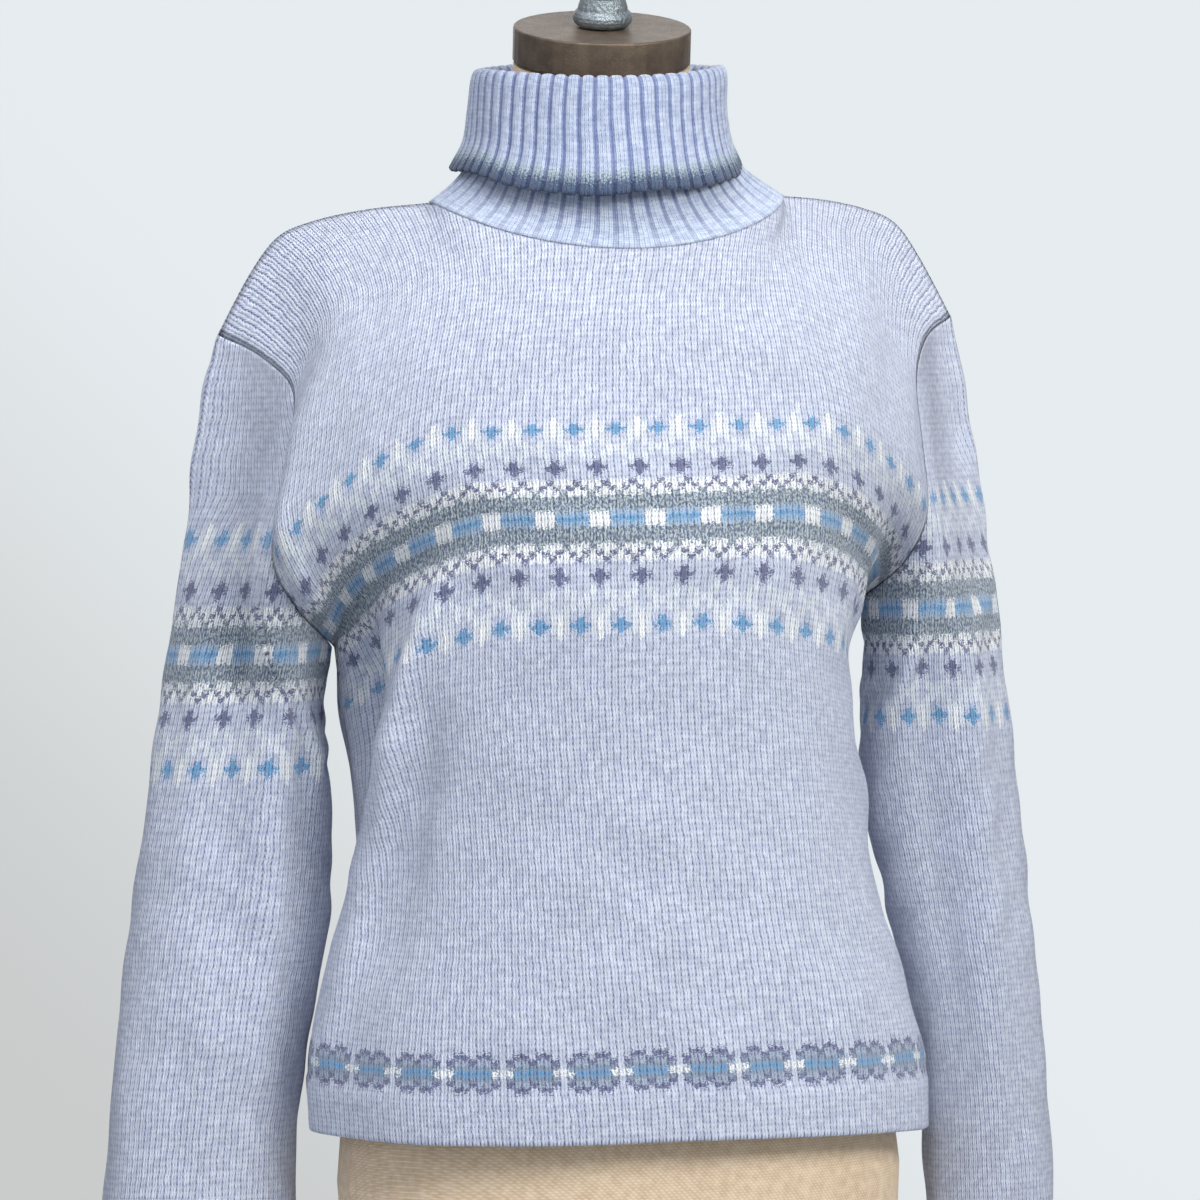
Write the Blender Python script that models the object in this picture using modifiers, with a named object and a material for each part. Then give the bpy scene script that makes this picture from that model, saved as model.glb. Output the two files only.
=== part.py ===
"""A drop-shoulder turtleneck sweater on a limbless dress form and stand, in metres.

Up is +Z, the front faces -Y and the wearer's left is +X. The origin is the middle of the
stand's underside. The cloth is worked out in knitted courses, counted up from the hem, and
in u, which runs across each panel from -1 at its -X edge to 1 at its +X edge.
"""

import math
from collections import namedtuple

import bmesh
import bpy
import numpy as np
from mathutils import Vector

WALL = 0.003  # the knitted cloth
SEAM_GAP = 0.0003  # between two pieces that a seam joins
SEAM_INSET = 0.0002  # each piece's edge stops this short of its seam
RIM, COLLAR_RIM = 0.0030, 0.0050  # along a seam, the inner side stops this much further short
STITCH = 0.0041  # one stitch across the chest
HALF_STITCHES = 63  # from the middle of a panel to its edge
UNDERARM = 86  # the course where the side seam ends
YOKE = 114  # the course where the rows start to turn towards the shoulders
TOP = 145  # the course at the shoulder seam
NECK_U, NECK_SHARE = 0.03, 0.47  # the neckline's middle, and its reach along u to either side
NECK_ANGLE = math.radians(96)  # from the middle of the front neckline to the shoulder seam

NECK_MIDDLE = (0.003, -0.025, 1.354)
NECK_HALF_WIDTH, NECK_HALF_DEPTH = 0.105, 0.080
NECK_FRONT_DROP, NECK_BACK_DROP = 0.031, 0.002
NECK_CURVE = 1.5  # how late the neckline and the collar's edges drop towards the front and back
ROW_FALL = 1.35  # how late a row of stitches falls towards its edges
ROW_PACE = 0.8  # how far the stitches of a row crowd where the row turns away at its edges
YOKE_TURN = (1.2, 2, 2)  # how late the yoke's rows turn to the shoulders, along x, y and z
YOKE_SOFTNESS = 0.16  # how far along u the shoulders' outline is blurred at the yoke's start
CALM_COURSES, CALM_U, CALM_DOWN = 6, 0.12, 0.08  # the folds fade out this close to the seams

STAND_RADIUS, STAND_RIM, STAND_CROWN = 0.170, 0.010, 0.024
HUB_RADIUS, HUB_TOP = 0.026, 0.060
POLE_RADIUS = 0.0135
FORM_BOTTOM = 0.700
CAP_MIDDLE = Vector((0.000, -0.034, 1.4334))  # the middle of the neck cap's underside
CAP_RADIUS, CAP_HEIGHT, CAP_ROUND = 0.0520, 0.0205, 0.0012
CAP_TILT = math.radians(14)

FRONT, BACK, LEFT, RIGHT = -1, 1, -1, 1

# How a panel's rows of stitches lie. x, y, z are the row's middle, wrap is half the angle that
# the row turns through, corner_* fill out the quarters, and start_* say how far out along u the
# row begins to fall towards its edge.
Row = namedtuple("Row", "course x y z wrap corner_minus corner_plus start_minus start_plus")
PANEL_ROWS = {
    FRONT: (
        Row(0, -0.004, -0.124, 0.812, 90, 0.07, 0.05, 0.10, 0.05),
        Row(10, -0.006, -0.125, 0.852, 90, 0.07, 0.05, 0.10, 0.05),
        Row(40, -0.014, -0.123, 0.982, 90, 0.04, 0.05, 0.15, 0.10),
        Row(60, -0.018, -0.127, 1.065, 90, 0.03, 0.05, 0.22, 0.15),
        Row(71, -0.018, -0.132, 1.108, 90, 0.02, 0.05, 0.25, 0.20),
        Row(86, -0.018, -0.136, 1.160, 88, 0.02, 0.06, 0.28, 0.38),
        Row(96, -0.018, -0.135, 1.190, 80, 0.01, 0.04, 0.33, 0.43),
        Row(107, -0.018, -0.131, 1.221, 72, 0.00, 0.02, 0.38, 0.48),
        Row(125, -0.012, -0.121, 1.274, 66, 0.00, 0.00, 0.45, 0.50),
        Row(145, 0.003, -0.105, 1.323, 80, 0.00, 0.00, 0.50, 0.50),
    ),
    BACK: (
        Row(0, 0.000, 0.118, 0.806, 90, 0.05, 0.05, 0.10, 0.10),
        Row(10, 0.000, 0.118, 0.846, 90, 0.05, 0.05, 0.10, 0.10),
        Row(40, 0.000, 0.104, 0.972, 90, 0.05, 0.05, 0.15, 0.15),
        Row(60, 0.000, 0.106, 1.052, 90, 0.05, 0.05, 0.25, 0.25),
        Row(71, 0.000, 0.111, 1.095, 90, 0.05, 0.05, 0.30, 0.30),
        Row(86, 0.000, 0.117, 1.152, 88, 0.04, 0.04, 0.35, 0.35),
        Row(96, 0.000, 0.119, 1.189, 84, 0.02, 0.02, 0.38, 0.38),
        Row(107, 0.000, 0.119, 1.228, 78, 0.00, 0.00, 0.40, 0.40),
        Row(125, 0.000, 0.105, 1.291, 72, 0.00, 0.00, 0.45, 0.45),
        Row(145, 0.003, 0.055, 1.352, 80, 0.00, 0.00, 0.50, 0.50),
    ),
}

# A panel's edges: the side seams up to the underarm, then the armholes up to the shoulder tip.
Edge = namedtuple("Edge", "course x y z")
SIDE_SEAMS = {
    LEFT: (
        Edge(0, -0.181, 0.006, 0.818),
        Edge(10, -0.180, 0.006, 0.857),
        Edge(20, -0.170, 0.006, 0.897),
        Edge(30, -0.157, 0.007, 0.936),
        Edge(40, -0.149, 0.008, 0.975),
        Edge(60, -0.153, 0.008, 1.030),
        Edge(71, -0.157, 0.008, 1.058),
        Edge(86, -0.160, 0.010, 1.095),
    ),
    RIGHT: (
        Edge(0, 0.186, 0.006, 0.799),
        Edge(10, 0.185, 0.006, 0.842),
        Edge(20, 0.175, 0.006, 0.885),
        Edge(30, 0.162, 0.007, 0.928),
        Edge(40, 0.154, 0.008, 0.968),
        Edge(60, 0.147, 0.008, 1.036),
        Edge(71, 0.145, 0.008, 1.071),
        Edge(86, 0.157, 0.010, 1.112),
    ),
}
ARMHOLES = {
    (LEFT, FRONT): (
        Edge(86, -0.160, 0.010, 1.095),
        Edge(97, -0.190, -0.044, 1.120),
        Edge(107, -0.208, -0.068, 1.150),
        Edge(118, -0.201, -0.064, 1.193),
        Edge(129, -0.190, -0.043, 1.240),
        Edge(137, -0.203, -0.013, 1.263),
        Edge(145, -0.222, 0.022, 1.279),
    ),
    (RIGHT, FRONT): (
        Edge(86, 0.157, 0.010, 1.112),
        Edge(97, 0.172, -0.040, 1.135),
        Edge(107, 0.181, -0.063, 1.164),
        Edge(118, 0.182, -0.058, 1.202),
        Edge(129, 0.187, -0.037, 1.241),
        Edge(137, 0.201, -0.009, 1.266),
        Edge(145, 0.223, 0.022, 1.281),
    ),
    (LEFT, BACK): (
        Edge(86, -0.160, 0.010, 1.095),
        Edge(97, -0.177, 0.058, 1.125),
        Edge(107, -0.184, 0.080, 1.163),
        Edge(118, -0.187, 0.084, 1.202),
        Edge(129, -0.193, 0.071, 1.238),
        Edge(137, -0.205, 0.050, 1.262),
        Edge(145, -0.222, 0.022, 1.279),
    ),
    (RIGHT, BACK): (
        Edge(86, 0.157, 0.010, 1.112),
        Edge(97, 0.172, 0.058, 1.138),
        Edge(107, 0.180, 0.080, 1.170),
        Edge(118, 0.185, 0.084, 1.206),
        Edge(129, 0.193, 0.071, 1.241),
        Edge(137, 0.206, 0.050, 1.265),
        Edge(145, 0.223, 0.022, 1.281),
    ),
}
# The shoulder seam, from the neckline out to the tip.
Shoulder = namedtuple("Shoulder", "out x y z")
SHOULDER_SEAM = (
    Shoulder(0.00, 0.1055, -0.0110, 1.3535),
    Shoulder(0.25, 0.138, 0.000, 1.3510),
    Shoulder(0.50, 0.168, 0.009, 1.3450),
    Shoulder(0.66, 0.187, 0.014, 1.3365),
    Shoulder(0.80, 0.202, 0.018, 1.3170),
    Shoulder(1.00, 0.2225, 0.022, 1.2800),
)

# A sleeve's rings: the ends of each ring on the outer and the inner side of the arm, the y of
# both, and how far the cloth stands in front of and behind that line.
Ring = namedtuple("Ring", "down outer_x outer_z inner_x inner_z y front back")
SLEEVE_RINGS = {
    LEFT: (
        Ring(0.00, -0.222, 1.279, -0.160, 1.095, 0.014, 0.075, 0.068),
        Ring(0.07, -0.230, 1.250, -0.163, 1.078, 0.018, 0.068, 0.062),
        Ring(0.16, -0.239, 1.200, -0.164, 1.056, 0.022, 0.057, 0.052),
        Ring(0.28, -0.249, 1.135, -0.163, 1.028, 0.024, 0.045, 0.042),
        Ring(0.42, -0.263, 1.058, -0.162, 0.984, 0.025, 0.036, 0.036),
        Ring(0.57, -0.277, 0.974, -0.166, 0.930, 0.026, 0.031, 0.032),
        Ring(0.72, -0.290, 0.888, -0.179, 0.864, 0.026, 0.030, 0.032),
        Ring(0.85, -0.300, 0.806, -0.189, 0.796, 0.026, 0.030, 0.031),
        Ring(1.00, -0.311, 0.708, -0.190, 0.704, 0.026, 0.028, 0.029),
    ),
    RIGHT: (
        Ring(0.00, 0.223, 1.281, 0.157, 1.112, 0.014, 0.074, 0.068),
        Ring(0.07, 0.229, 1.250, 0.160, 1.092, 0.018, 0.067, 0.062),
        Ring(0.16, 0.237, 1.200, 0.161, 1.066, 0.022, 0.056, 0.052),
        Ring(0.28, 0.243, 1.135, 0.161, 1.034, 0.024, 0.045, 0.042),
        Ring(0.42, 0.251, 1.056, 0.163, 0.986, 0.025, 0.037, 0.036),
        Ring(0.57, 0.259, 0.972, 0.174, 0.930, 0.026, 0.032, 0.032),
        Ring(0.72, 0.266, 0.886, 0.188, 0.864, 0.026, 0.031, 0.032),
        Ring(0.85, 0.271, 0.806, 0.194, 0.796, 0.026, 0.031, 0.031),
        Ring(1.00, 0.275, 0.708, 0.194, 0.704, 0.026, 0.029, 0.029),
    ),
}
SLEEVE_BLEND = 0.34  # the share of a sleeve over which the armhole's own outline fades away
SLEEVE_FLARE = 0.085  # how strongly the cloth leaves the armhole's front and back outwards
BESIDE_ARMHOLE = 0.96  # the place along u whose step to the armhole gives that direction
SLEEVE_SIDES, COLLAR_SIDES = 24, 30

# The largest folds. Each follows its points in (u, course) on a panel, or in (degrees round,
# down) on a sleeve, with the cloth lifted there, or sunk, and width to either side.
U_SIZE, COURSE_SIZE, DEGREE_SIZE, DOWN_SIZE = 0.235, 0.0036, 0.00075, 0.58
COLLAR_STEP_SIZE = 0.0146
Fold = namedtuple("Fold", "width points")
PANEL_FOLDS = {
    FRONT: (
        Fold(0.026, ((-0.40, 80, 0.000), (-0.60, 62, 0.008), (-0.74, 48, 0.018),
                     (-0.80, 36, 0.019), (-0.84, 18, 0.011), (-0.86, 0, 0.008))),
        Fold(0.024, ((-0.80, 88, -0.004), (-0.84, 74, -0.013), (-0.88, 56, -0.008),
                     (-0.92, 44, 0.000))),
        Fold(0.022, ((-0.33, 74, 0.000), (-0.40, 55, 0.003), (-0.52, 38, 0.004),
                     (-0.62, 24, 0.000))),
        Fold(0.030, ((-0.93, 100, 0.004), (-0.86, 122, 0.006), (-0.72, 136, 0.000))),
        Fold(0.024, ((0.86, 92, -0.004), (0.72, 108, -0.002), (0.62, 124, 0.000))),
    ),
    BACK: (
        Fold(0.026, ((-0.86, 92, -0.004), (-0.66, 74, -0.006), (-0.44, 52, 0.000))),
        Fold(0.026, ((0.86, 92, -0.004), (0.64, 70, -0.005), (0.48, 46, 0.000))),
        Fold(0.030, ((-0.70, 44, 0.000), (-0.62, 24, 0.005), (-0.60, 0, 0.006))),
        Fold(0.030, ((0.72, 50, 0.000), (0.66, 26, 0.005), (0.62, 0, 0.005))),
    ),
}
SLEEVE_FOLDS = {
    LEFT: (
        Fold(0.011, ((104, 0.04, 0.004), (101, 0.20, 0.008), (99, 0.45, 0.009),
                     (104, 0.62, 0.007), (110, 0.80, 0.000))),
        Fold(0.011, ((80, 0.06, 0.000), (78, 0.22, -0.008), (78, 0.45, -0.007),
                     (84, 0.62, -0.004), (90, 0.74, 0.000))),
        Fold(0.014, ((262, 0.10, 0.000), (256, 0.30, -0.007), (262, 0.60, -0.005),
                     (268, 0.85, 0.000))),
    ),
    RIGHT: (
        Fold(0.012, ((74, 0.12, 0.000), (70, 0.35, 0.006), (76, 0.62, 0.006),
                     (86, 0.90, 0.000))),
        Fold(0.013, ((112, 0.14, 0.000), (108, 0.36, -0.006), (112, 0.66, -0.005),
                     (118, 0.86, 0.000))),
        Fold(0.014, ((266, 0.12, 0.000), (258, 0.36, -0.007), (264, 0.70, 0.000))),
    ),
}

# The collar, from the neckline up the neck, over the fold and down to its rim.
Collar = namedtuple("Collar", "step x y half_width half_depth front_z side_z back_z")
COLLAR_ROWS = (
    Collar(0, 0.003, -0.025, 0.1050, 0.0800, 1.3230, 1.3540, 1.3520),
    Collar(1, 0.002, -0.027, 0.0925, 0.0750, 1.3325, 1.3615, 1.3600),
    Collar(2, 0.000, -0.030, 0.0810, 0.0700, 1.3470, 1.3705, 1.3705),
    Collar(3, -0.001, -0.031, 0.0715, 0.0675, 1.3690, 1.3830, 1.3870),
    Collar(4, -0.001, -0.032, 0.0680, 0.0650, 1.3960, 1.4050, 1.4110),
    Collar(5, -0.001, -0.032, 0.0675, 0.0645, 1.4160, 1.4240, 1.4300),
    Collar(6, -0.001, -0.032, 0.0708, 0.0678, 1.4215, 1.4295, 1.4360),
    Collar(7, -0.001, -0.032, 0.0741, 0.0711, 1.4160, 1.4245, 1.4310),
    Collar(8, -0.002, -0.032, 0.0752, 0.0722, 1.3970, 1.4065, 1.4130),
    Collar(9, -0.002, -0.032, 0.0778, 0.0752, 1.3740, 1.3880, 1.3960),
    Collar(10, -0.003, -0.032, 0.0850, 0.0820, 1.3540, 1.3720, 1.3820),
)

# The form's sections, from its underside up to the neck, which leans forward.
Torso = namedtuple("Torso", "z half_width front_y back_y square")
TORSO_ROWS = (
    Torso(0.700, 0.150, -0.091, 0.088, 2.2),
    Torso(0.712, 0.164, -0.102, 0.099, 2.2),
    Torso(0.780, 0.168, -0.106, 0.101, 2.2),
    Torso(0.860, 0.160, -0.103, 0.098, 2.2),
    Torso(0.930, 0.143, -0.095, 0.086, 2.1),
    Torso(0.990, 0.130, -0.089, 0.078, 2.1),
    Torso(1.050, 0.132, -0.095, 0.083, 2.1),
    Torso(1.100, 0.138, -0.110, 0.094, 2.1),
    Torso(1.150, 0.143, -0.122, 0.104, 2.1),
    Torso(1.195, 0.150, -0.119, 0.107, 2.1),
    Torso(1.240, 0.160, -0.102, 0.104, 2.1),
    Torso(1.280, 0.168, -0.079, 0.084, 2.1),
    Torso(1.305, 0.165, -0.056, 0.060, 2.0),
    Torso(1.321, 0.152, -0.040, 0.041, 2.0),
    Torso(1.332, 0.130, -0.033, 0.028, 2.0),
    Torso(1.339, 0.106, -0.038, 0.022, 2.0),
    Torso(1.349, 0.084, -0.052, 0.023, 2.0),
    Torso(1.362, 0.066, -0.067, 0.021, 2.0),
    Torso(1.385, 0.056, -0.079, 0.019, 2.0),
    Torso(1.4319, 0.0515, -0.0855, 0.0175, 2.0),
)


def read(table, column, at):
    """A named column of a table, read at places between its rows along a smooth curve."""
    keys = np.array([row[0] for row in table], float)
    values = np.array([getattr(row, column) for row in table], float)
    last = len(keys) - 1
    after = np.minimum(np.arange(last + 1) + 1, last)
    before = np.maximum(np.arange(last + 1) - 1, 0)
    slopes = (values[after] - values[before]) / (keys[after] - keys[before])
    at = np.clip(at, keys[0], keys[last])
    i = np.clip(np.searchsorted(keys, at, side="right") - 1, 0, last - 1)
    span = keys[i + 1] - keys[i]
    t, rise = (at - keys[i]) / span, values[i + 1] - values[i]
    start, end = slopes[i] * span, slopes[i + 1] * span
    return values[i] + t * (start + t * (3 * rise - 2 * start - end + t * (start + end - 2 * rise)))


def points(x, y, z):
    """Points from their three coordinates, which may be numbers or arrays."""
    return np.stack(np.broadcast_arrays(x, y, z), axis=-1)


def edge_points(face, hand, course):
    """Points on a panel's side seam or, above the underarm, on its armhole."""
    side = points(*(read(SIDE_SEAMS[hand], column, course) for column in "xyz"))
    arm = points(*(read(ARMHOLES[hand, face], column, course) for column in "xyz"))
    return np.where((np.asarray(course) > UNDERARM)[..., None], arm, side)


def neckline(angle):
    """The neckline, by its angle from the middle of the front."""
    ahead = np.cos(angle)
    drop = np.where(ahead > 0, NECK_FRONT_DROP, NECK_BACK_DROP) * np.abs(ahead) ** NECK_CURVE
    x, y, z = NECK_MIDDLE
    return points(x + NECK_HALF_WIDTH * np.sin(angle), y - NECK_HALF_DEPTH * ahead, z - drop)


def neck_turn(face):
    """The angle that one side of a panel's neckline turns through."""
    return NECK_ANGLE if face == FRONT else math.pi - NECK_ANGLE


def top_edge(face, u):
    """A panel's top edge: the neckline in the middle, and a shoulder seam on either side."""
    from_neck = u - NECK_U
    angle = np.arcsin(np.clip(from_neck / NECK_SHARE, -1, 1)) / (math.pi / 2) * neck_turn(face)
    neck = neckline(angle if face == FRONT else math.pi - angle)
    beyond = np.abs(from_neck) - NECK_SHARE
    out = np.clip(beyond / (1 - np.copysign(NECK_U, from_neck) - NECK_SHARE), 0, 1)
    x, y, z = (read(SHOULDER_SEAM, column, out) for column in "xyz")
    seam = points(np.copysign(x, u), y, z)
    first = points(np.copysign(SHOULDER_SEAM[0].x, u), SHOULDER_SEAM[0].y, SHOULDER_SEAM[0].z)
    seam += (neckline(np.copysign(NECK_ANGLE, u)) - first) * ((1 - out) ** 2)[..., None]
    return np.where((beyond > 0)[..., None], seam, neck)


def row_points(face, u, course):
    """Points on the curves of rows of stitches, before the yoke turns them to the shoulders."""
    rows = PANEL_ROWS[face]
    value = {name: read(rows, name, course) for name in Row._fields[1:]}
    minus = u < 0
    edge = np.where(minus[..., None], edge_points(face, LEFT, course), edge_points(face, RIGHT, course))
    corner = np.where(minus, value["corner_minus"], value["corner_plus"])
    start = np.where(minus, value["start_minus"], value["start_plus"])
    out, wrap = np.abs(u), np.radians(value["wrap"])
    reach = np.abs(edge[..., 0] - value["x"]) * wrap / np.sin(wrap)
    pace = ROW_PACE * (HALF_STITCHES * STITCH / reach - 1)
    turn = wrap * out * (1 + pace * (1 - out))
    full = 1 + corner * np.sin(2 * turn) ** 2
    across = np.sin(turn) / np.sin(wrap) * full
    ahead = (np.cos(turn) - np.cos(wrap)) / (1 - np.cos(wrap)) * full
    fall = np.clip((out - start) / (1 - start), 0, 1) ** ROW_FALL
    return points(
        value["x"] + (edge[..., 0] - value["x"]) * across,
        edge[..., 1] + (value["y"] - edge[..., 1]) * ahead,
        value["z"] + (edge[..., 2] - value["z"]) * fall,
    )


def panel_points(face, u, course):
    """Points on the front or the back. Its rows turn over at the top to meet the shoulders."""
    u, course = np.broadcast_arrays(np.asarray(u, float), np.asarray(course, float))
    share = np.clip((course - YOKE) / (TOP - YOKE), 0, 1)
    steps = (-1, -0.5, 0, 0.5, 1)
    offset = 0
    for step in steps:
        near = np.clip(u + step * YOKE_SOFTNESS * (1 - share), -1, 1)
        offset = offset + top_edge(face, near) - row_points(face, near, np.full_like(near, TOP))
    turn_x, turn_y, turn_z = YOKE_TURN
    amount = points(share**turn_x, share**turn_y, 1 - (1 - share) ** turn_z)
    return row_points(face, u, course) + offset / len(steps) * amount


def sleeve_points(hand, degrees, down):
    """Points on a sleeve: 0 degrees is its outer side, 90 its front and 180 its inner side."""
    degrees, down = np.broadcast_arrays(np.asarray(degrees, float), np.asarray(down, float))
    angle = np.radians(degrees)

    def on_ring(place):
        value = {name: read(SLEEVE_RINGS[hand], name, place) for name in Ring._fields[1:]}
        outer = points(value["outer_x"], value["y"], value["outer_z"])
        inner = points(value["inner_x"], value["y"], value["inner_z"])
        depth = np.where(np.sin(angle) > 0, value["front"], value["back"])
        middle = (outer + inner) / 2
        across = (outer - middle) * np.cos(angle)[..., None]
        return middle + across - points(0, depth * np.sin(angle), 0)

    course = UNDERARM + np.abs(degrees - 180) * (TOP - UNDERARM) / 180
    in_front = (degrees <= 180)[..., None]
    armhole, beside = (
        np.where(in_front, panel_points(FRONT, hand * u, course), panel_points(BACK, hand * u, course))
        for u in (1, BESIDE_ARMHOLE)
    )
    outward = (armhole - beside) / np.linalg.norm(armhole - beside, axis=-1, keepdims=True)
    share = np.clip(down / SLEEVE_BLEND, 0, 1)
    keep = ((1 - share) ** 2 * (1 + 2 * share))[..., None]
    flare = (SLEEVE_FLARE * share * (1 - share) ** 2 * np.sin(angle) ** 2)[..., None]
    return on_ring(down) + (armhole - on_ring(np.zeros_like(down))) * keep + outward * flare


def collar_points(degrees, step):
    """Points on the collar's middle surface, by their angle from the middle of the front."""
    degrees, step = np.broadcast_arrays(np.asarray(degrees, float), np.asarray(step, float))
    value = {name: read(COLLAR_ROWS, name, step) for name in Collar._fields[1:]}
    angle = np.radians(degrees)
    ahead = np.cos(angle)
    end_z = np.where(ahead > 0, value["front_z"], value["back_z"])
    return points(
        value["x"] + value["half_width"] * np.sin(angle),
        value["y"] - value["half_depth"] * ahead,
        value["side_z"] + (end_z - value["side_z"]) * np.abs(ahead) ** NECK_CURVE,
    )


def fold_lift(folds, first, second, sizes):
    """How far the folds lift the cloth, with the sizes in metres of one unit of each coordinate."""
    first, second = np.broadcast_arrays(np.asarray(first) * sizes[0], np.asarray(second) * sizes[1])
    lift = np.zeros(first.shape)
    for fold in folds:
        nearest, height = np.full(lift.shape, np.inf), np.zeros(lift.shape)
        for a, b in zip(fold.points, fold.points[1:]):
            ax, ay = a[0] * sizes[0], a[1] * sizes[1]
            dx, dy = b[0] * sizes[0] - ax, b[1] * sizes[1] - ay
            share = np.clip(((first - ax) * dx + (second - ay) * dy) / (dx * dx + dy * dy), 0, 1)
            away = np.hypot(first - ax - dx * share, second - ay - dy * share)
            closer = away < nearest
            nearest = np.where(closer, away, nearest)
            height = np.where(closer, a[2] + (b[2] - a[2]) * share, height)
        lift += height * np.exp(-((nearest / fold.width) ** 2))
    return lift


def panel_surface(face):
    """The finished surface of a panel, folds included, as a function of u and course."""
    def base(u, course):
        return panel_points(face, u, np.clip(course, 0, TOP))

    def surface(u, course):
        calm = np.clip((TOP - course) / CALM_COURSES, 0, 1) * np.clip((1 - np.abs(u)) / CALM_U, 0, 1)
        lift = fold_lift(PANEL_FOLDS[face], u, course, (U_SIZE, COURSE_SIZE)) * calm
        return base(u, course) + directions(base, u, course, 0.01, 0.5) * lift[..., None] * -face

    return surface


def sleeve_surface(hand):
    """The finished surface of a sleeve, as a function of degrees round and the share down."""
    def base(degrees, down):
        return sleeve_points(hand, degrees % 360, down)

    def surface(degrees, down):
        lift = fold_lift(SLEEVE_FOLDS[hand], degrees % 360, down, (DEGREE_SIZE, DOWN_SIZE))
        lift *= np.clip(down / CALM_DOWN, 0, 1)
        return base(degrees, down) + directions(base, degrees, down, 1.0, 0.004) * lift[..., None] * hand

    return surface


def directions(surface, first, second, first_step, second_step):
    """The directions square to a surface, which point outwards where its two steps turn so."""
    first, second = np.broadcast_arrays(np.asarray(first, float), np.asarray(second, float))
    across = surface(first + first_step, second) - surface(first - first_step, second)
    along = surface(first, second + second_step) - surface(first, second - second_step)
    square = np.cross(across, along)
    return square / np.linalg.norm(square, axis=-1, keepdims=True)


def wall(name, outer, inner, ring, material):
    """A closed piece of cloth between two grids of points, whose rows may close in a ring."""
    height, width = outer.shape[:2]
    mesh = bmesh.new()
    layers = [[[mesh.verts.new(point) for point in row] for row in grid] for grid in (outer, inner)]
    top, under = layers
    for j in range(width if ring else width - 1):
        k = (j + 1) % width
        for i in range(height - 1):
            mesh.faces.new((top[i][j], top[i][k], top[i + 1][k], top[i + 1][j]))
            mesh.faces.new((under[i][j], under[i + 1][j], under[i + 1][k], under[i][k]))
        for i in (0, height - 1):
            mesh.faces.new((top[i][j], under[i][j], under[i][k], top[i][k]))
    for j in () if ring else (0, width - 1):
        for i in range(height - 1):
            mesh.faces.new((top[i][j], under[i][j], under[i + 1][j], top[i + 1][j]))
    bmesh.ops.recalc_face_normals(mesh, faces=mesh.faces)
    return finished(name, mesh, material)


def finished(name, mesh, material, sharp=30):
    """An object made from a bmesh, shaded smooth, in the sweater's collection."""
    data = bpy.data.meshes.new(name)
    mesh.to_mesh(data)
    mesh.free()
    data.shade_smooth()
    data.set_sharp_from_angle(angle=math.radians(sharp))
    data.materials.append(material)
    thing = bpy.data.objects.new(name, data)
    bpy.data.collections["sweater_on_form"].objects.link(thing)
    return thing


def plain(name, colour, roughness, metallic=0.0):
    """A plain material for one finish."""
    material = bpy.data.materials.new(name)
    material.use_nodes = True
    shader = material.node_tree.nodes["Principled BSDF"]
    shader.inputs["Base Color"].default_value = (*colour, 1)
    shader.inputs["Roughness"].default_value = roughness
    shader.inputs["Metallic"].default_value = metallic
    return material


def cloth(name, surface, turn, first, second, inner_first, inner_second, ring, material):
    """A cloth wall on a surface's grid. Its inner side has its own grid, held back from seams."""
    outer = surface(first, second)
    inner = surface(inner_first, inner_second)
    inner -= directions(surface, inner_first, inner_second, 0.004, 0.002) * turn * WALL
    return wall(name, outer, inner, ring, material)


def make_panel(name, face, material):
    """The front or the back of the sweater, hem to shoulders."""
    side_spans, body_spans = 7, 10
    neck_spans = round(2 * neck_turn(face) / math.tau * COLLAR_SIDES)
    neck = NECK_U + NECK_SHARE * np.sin(np.linspace(-math.pi / 2, math.pi / 2, neck_spans + 1))
    sides = [np.linspace(*ends, side_spans + 1) for ends in ((-1, neck[0]), (neck[-1], 1))]
    u = np.concatenate([sides[0][:-1], neck, sides[1][1:]])
    yoke = np.linspace(UNDERARM, TOP, SLEEVE_SIDES // 2 + 1)
    course = np.concatenate([np.linspace(0, UNDERARM, body_spans + 1)[:-1], yoke])[:, None]

    def within(gap):
        side = 1 - gap / U_SIZE
        return np.clip(u, -side, side), np.minimum(course, TOP - gap / COURSE_SIZE)

    return cloth(name, panel_surface(face), -face, *within(SEAM_INSET), *within(RIM), False, material)


def make_sleeve(name, hand, material):
    """One sleeve, a tube from the armhole down to the cuff."""
    rings, crowding = 16, 1.15  # the rings lie closer together near the armhole
    down = ((np.arange(rings + 1) / rings) ** crowding)[:, None]
    degrees = 360 * np.arange(SLEEVE_SIDES) / SLEEVE_SIDES
    outer_down = np.maximum(down, SEAM_INSET / DOWN_SIZE)
    inner_down = np.clip(down, RIM / DOWN_SIZE, 0.999)
    surface = sleeve_surface(hand)
    return cloth(name, surface, hand, degrees, outer_down, degrees, inner_down, True, material)


def make_collar(name, material):
    """The rib collar: a band up the neck, turned over and down again outside itself."""
    step = np.array([0, 0.8, 1.5, 2.2, 3, 4, 5, 5.5, 6, 6.5, 7, 8, 9, 10])[:, None]
    degrees = 360 * np.arange(COLLAR_SIDES) / COLLAR_SIDES
    layers = []
    for side, gap in ((1, SEAM_INSET + SEAM_GAP), (-1, COLLAR_RIM)):
        at = np.clip(step, gap / COLLAR_STEP_SIZE, 9.999)
        proud = WALL / 2 * np.clip(at / 2, 0, 1)
        lift = (proud if side > 0 else proud - WALL)[..., None]
        layers.append(collar_points(degrees, at) + directions(collar_points, degrees, at, 0.5, 0.02) * lift)
    return wall(name, *layers, True, material)


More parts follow.
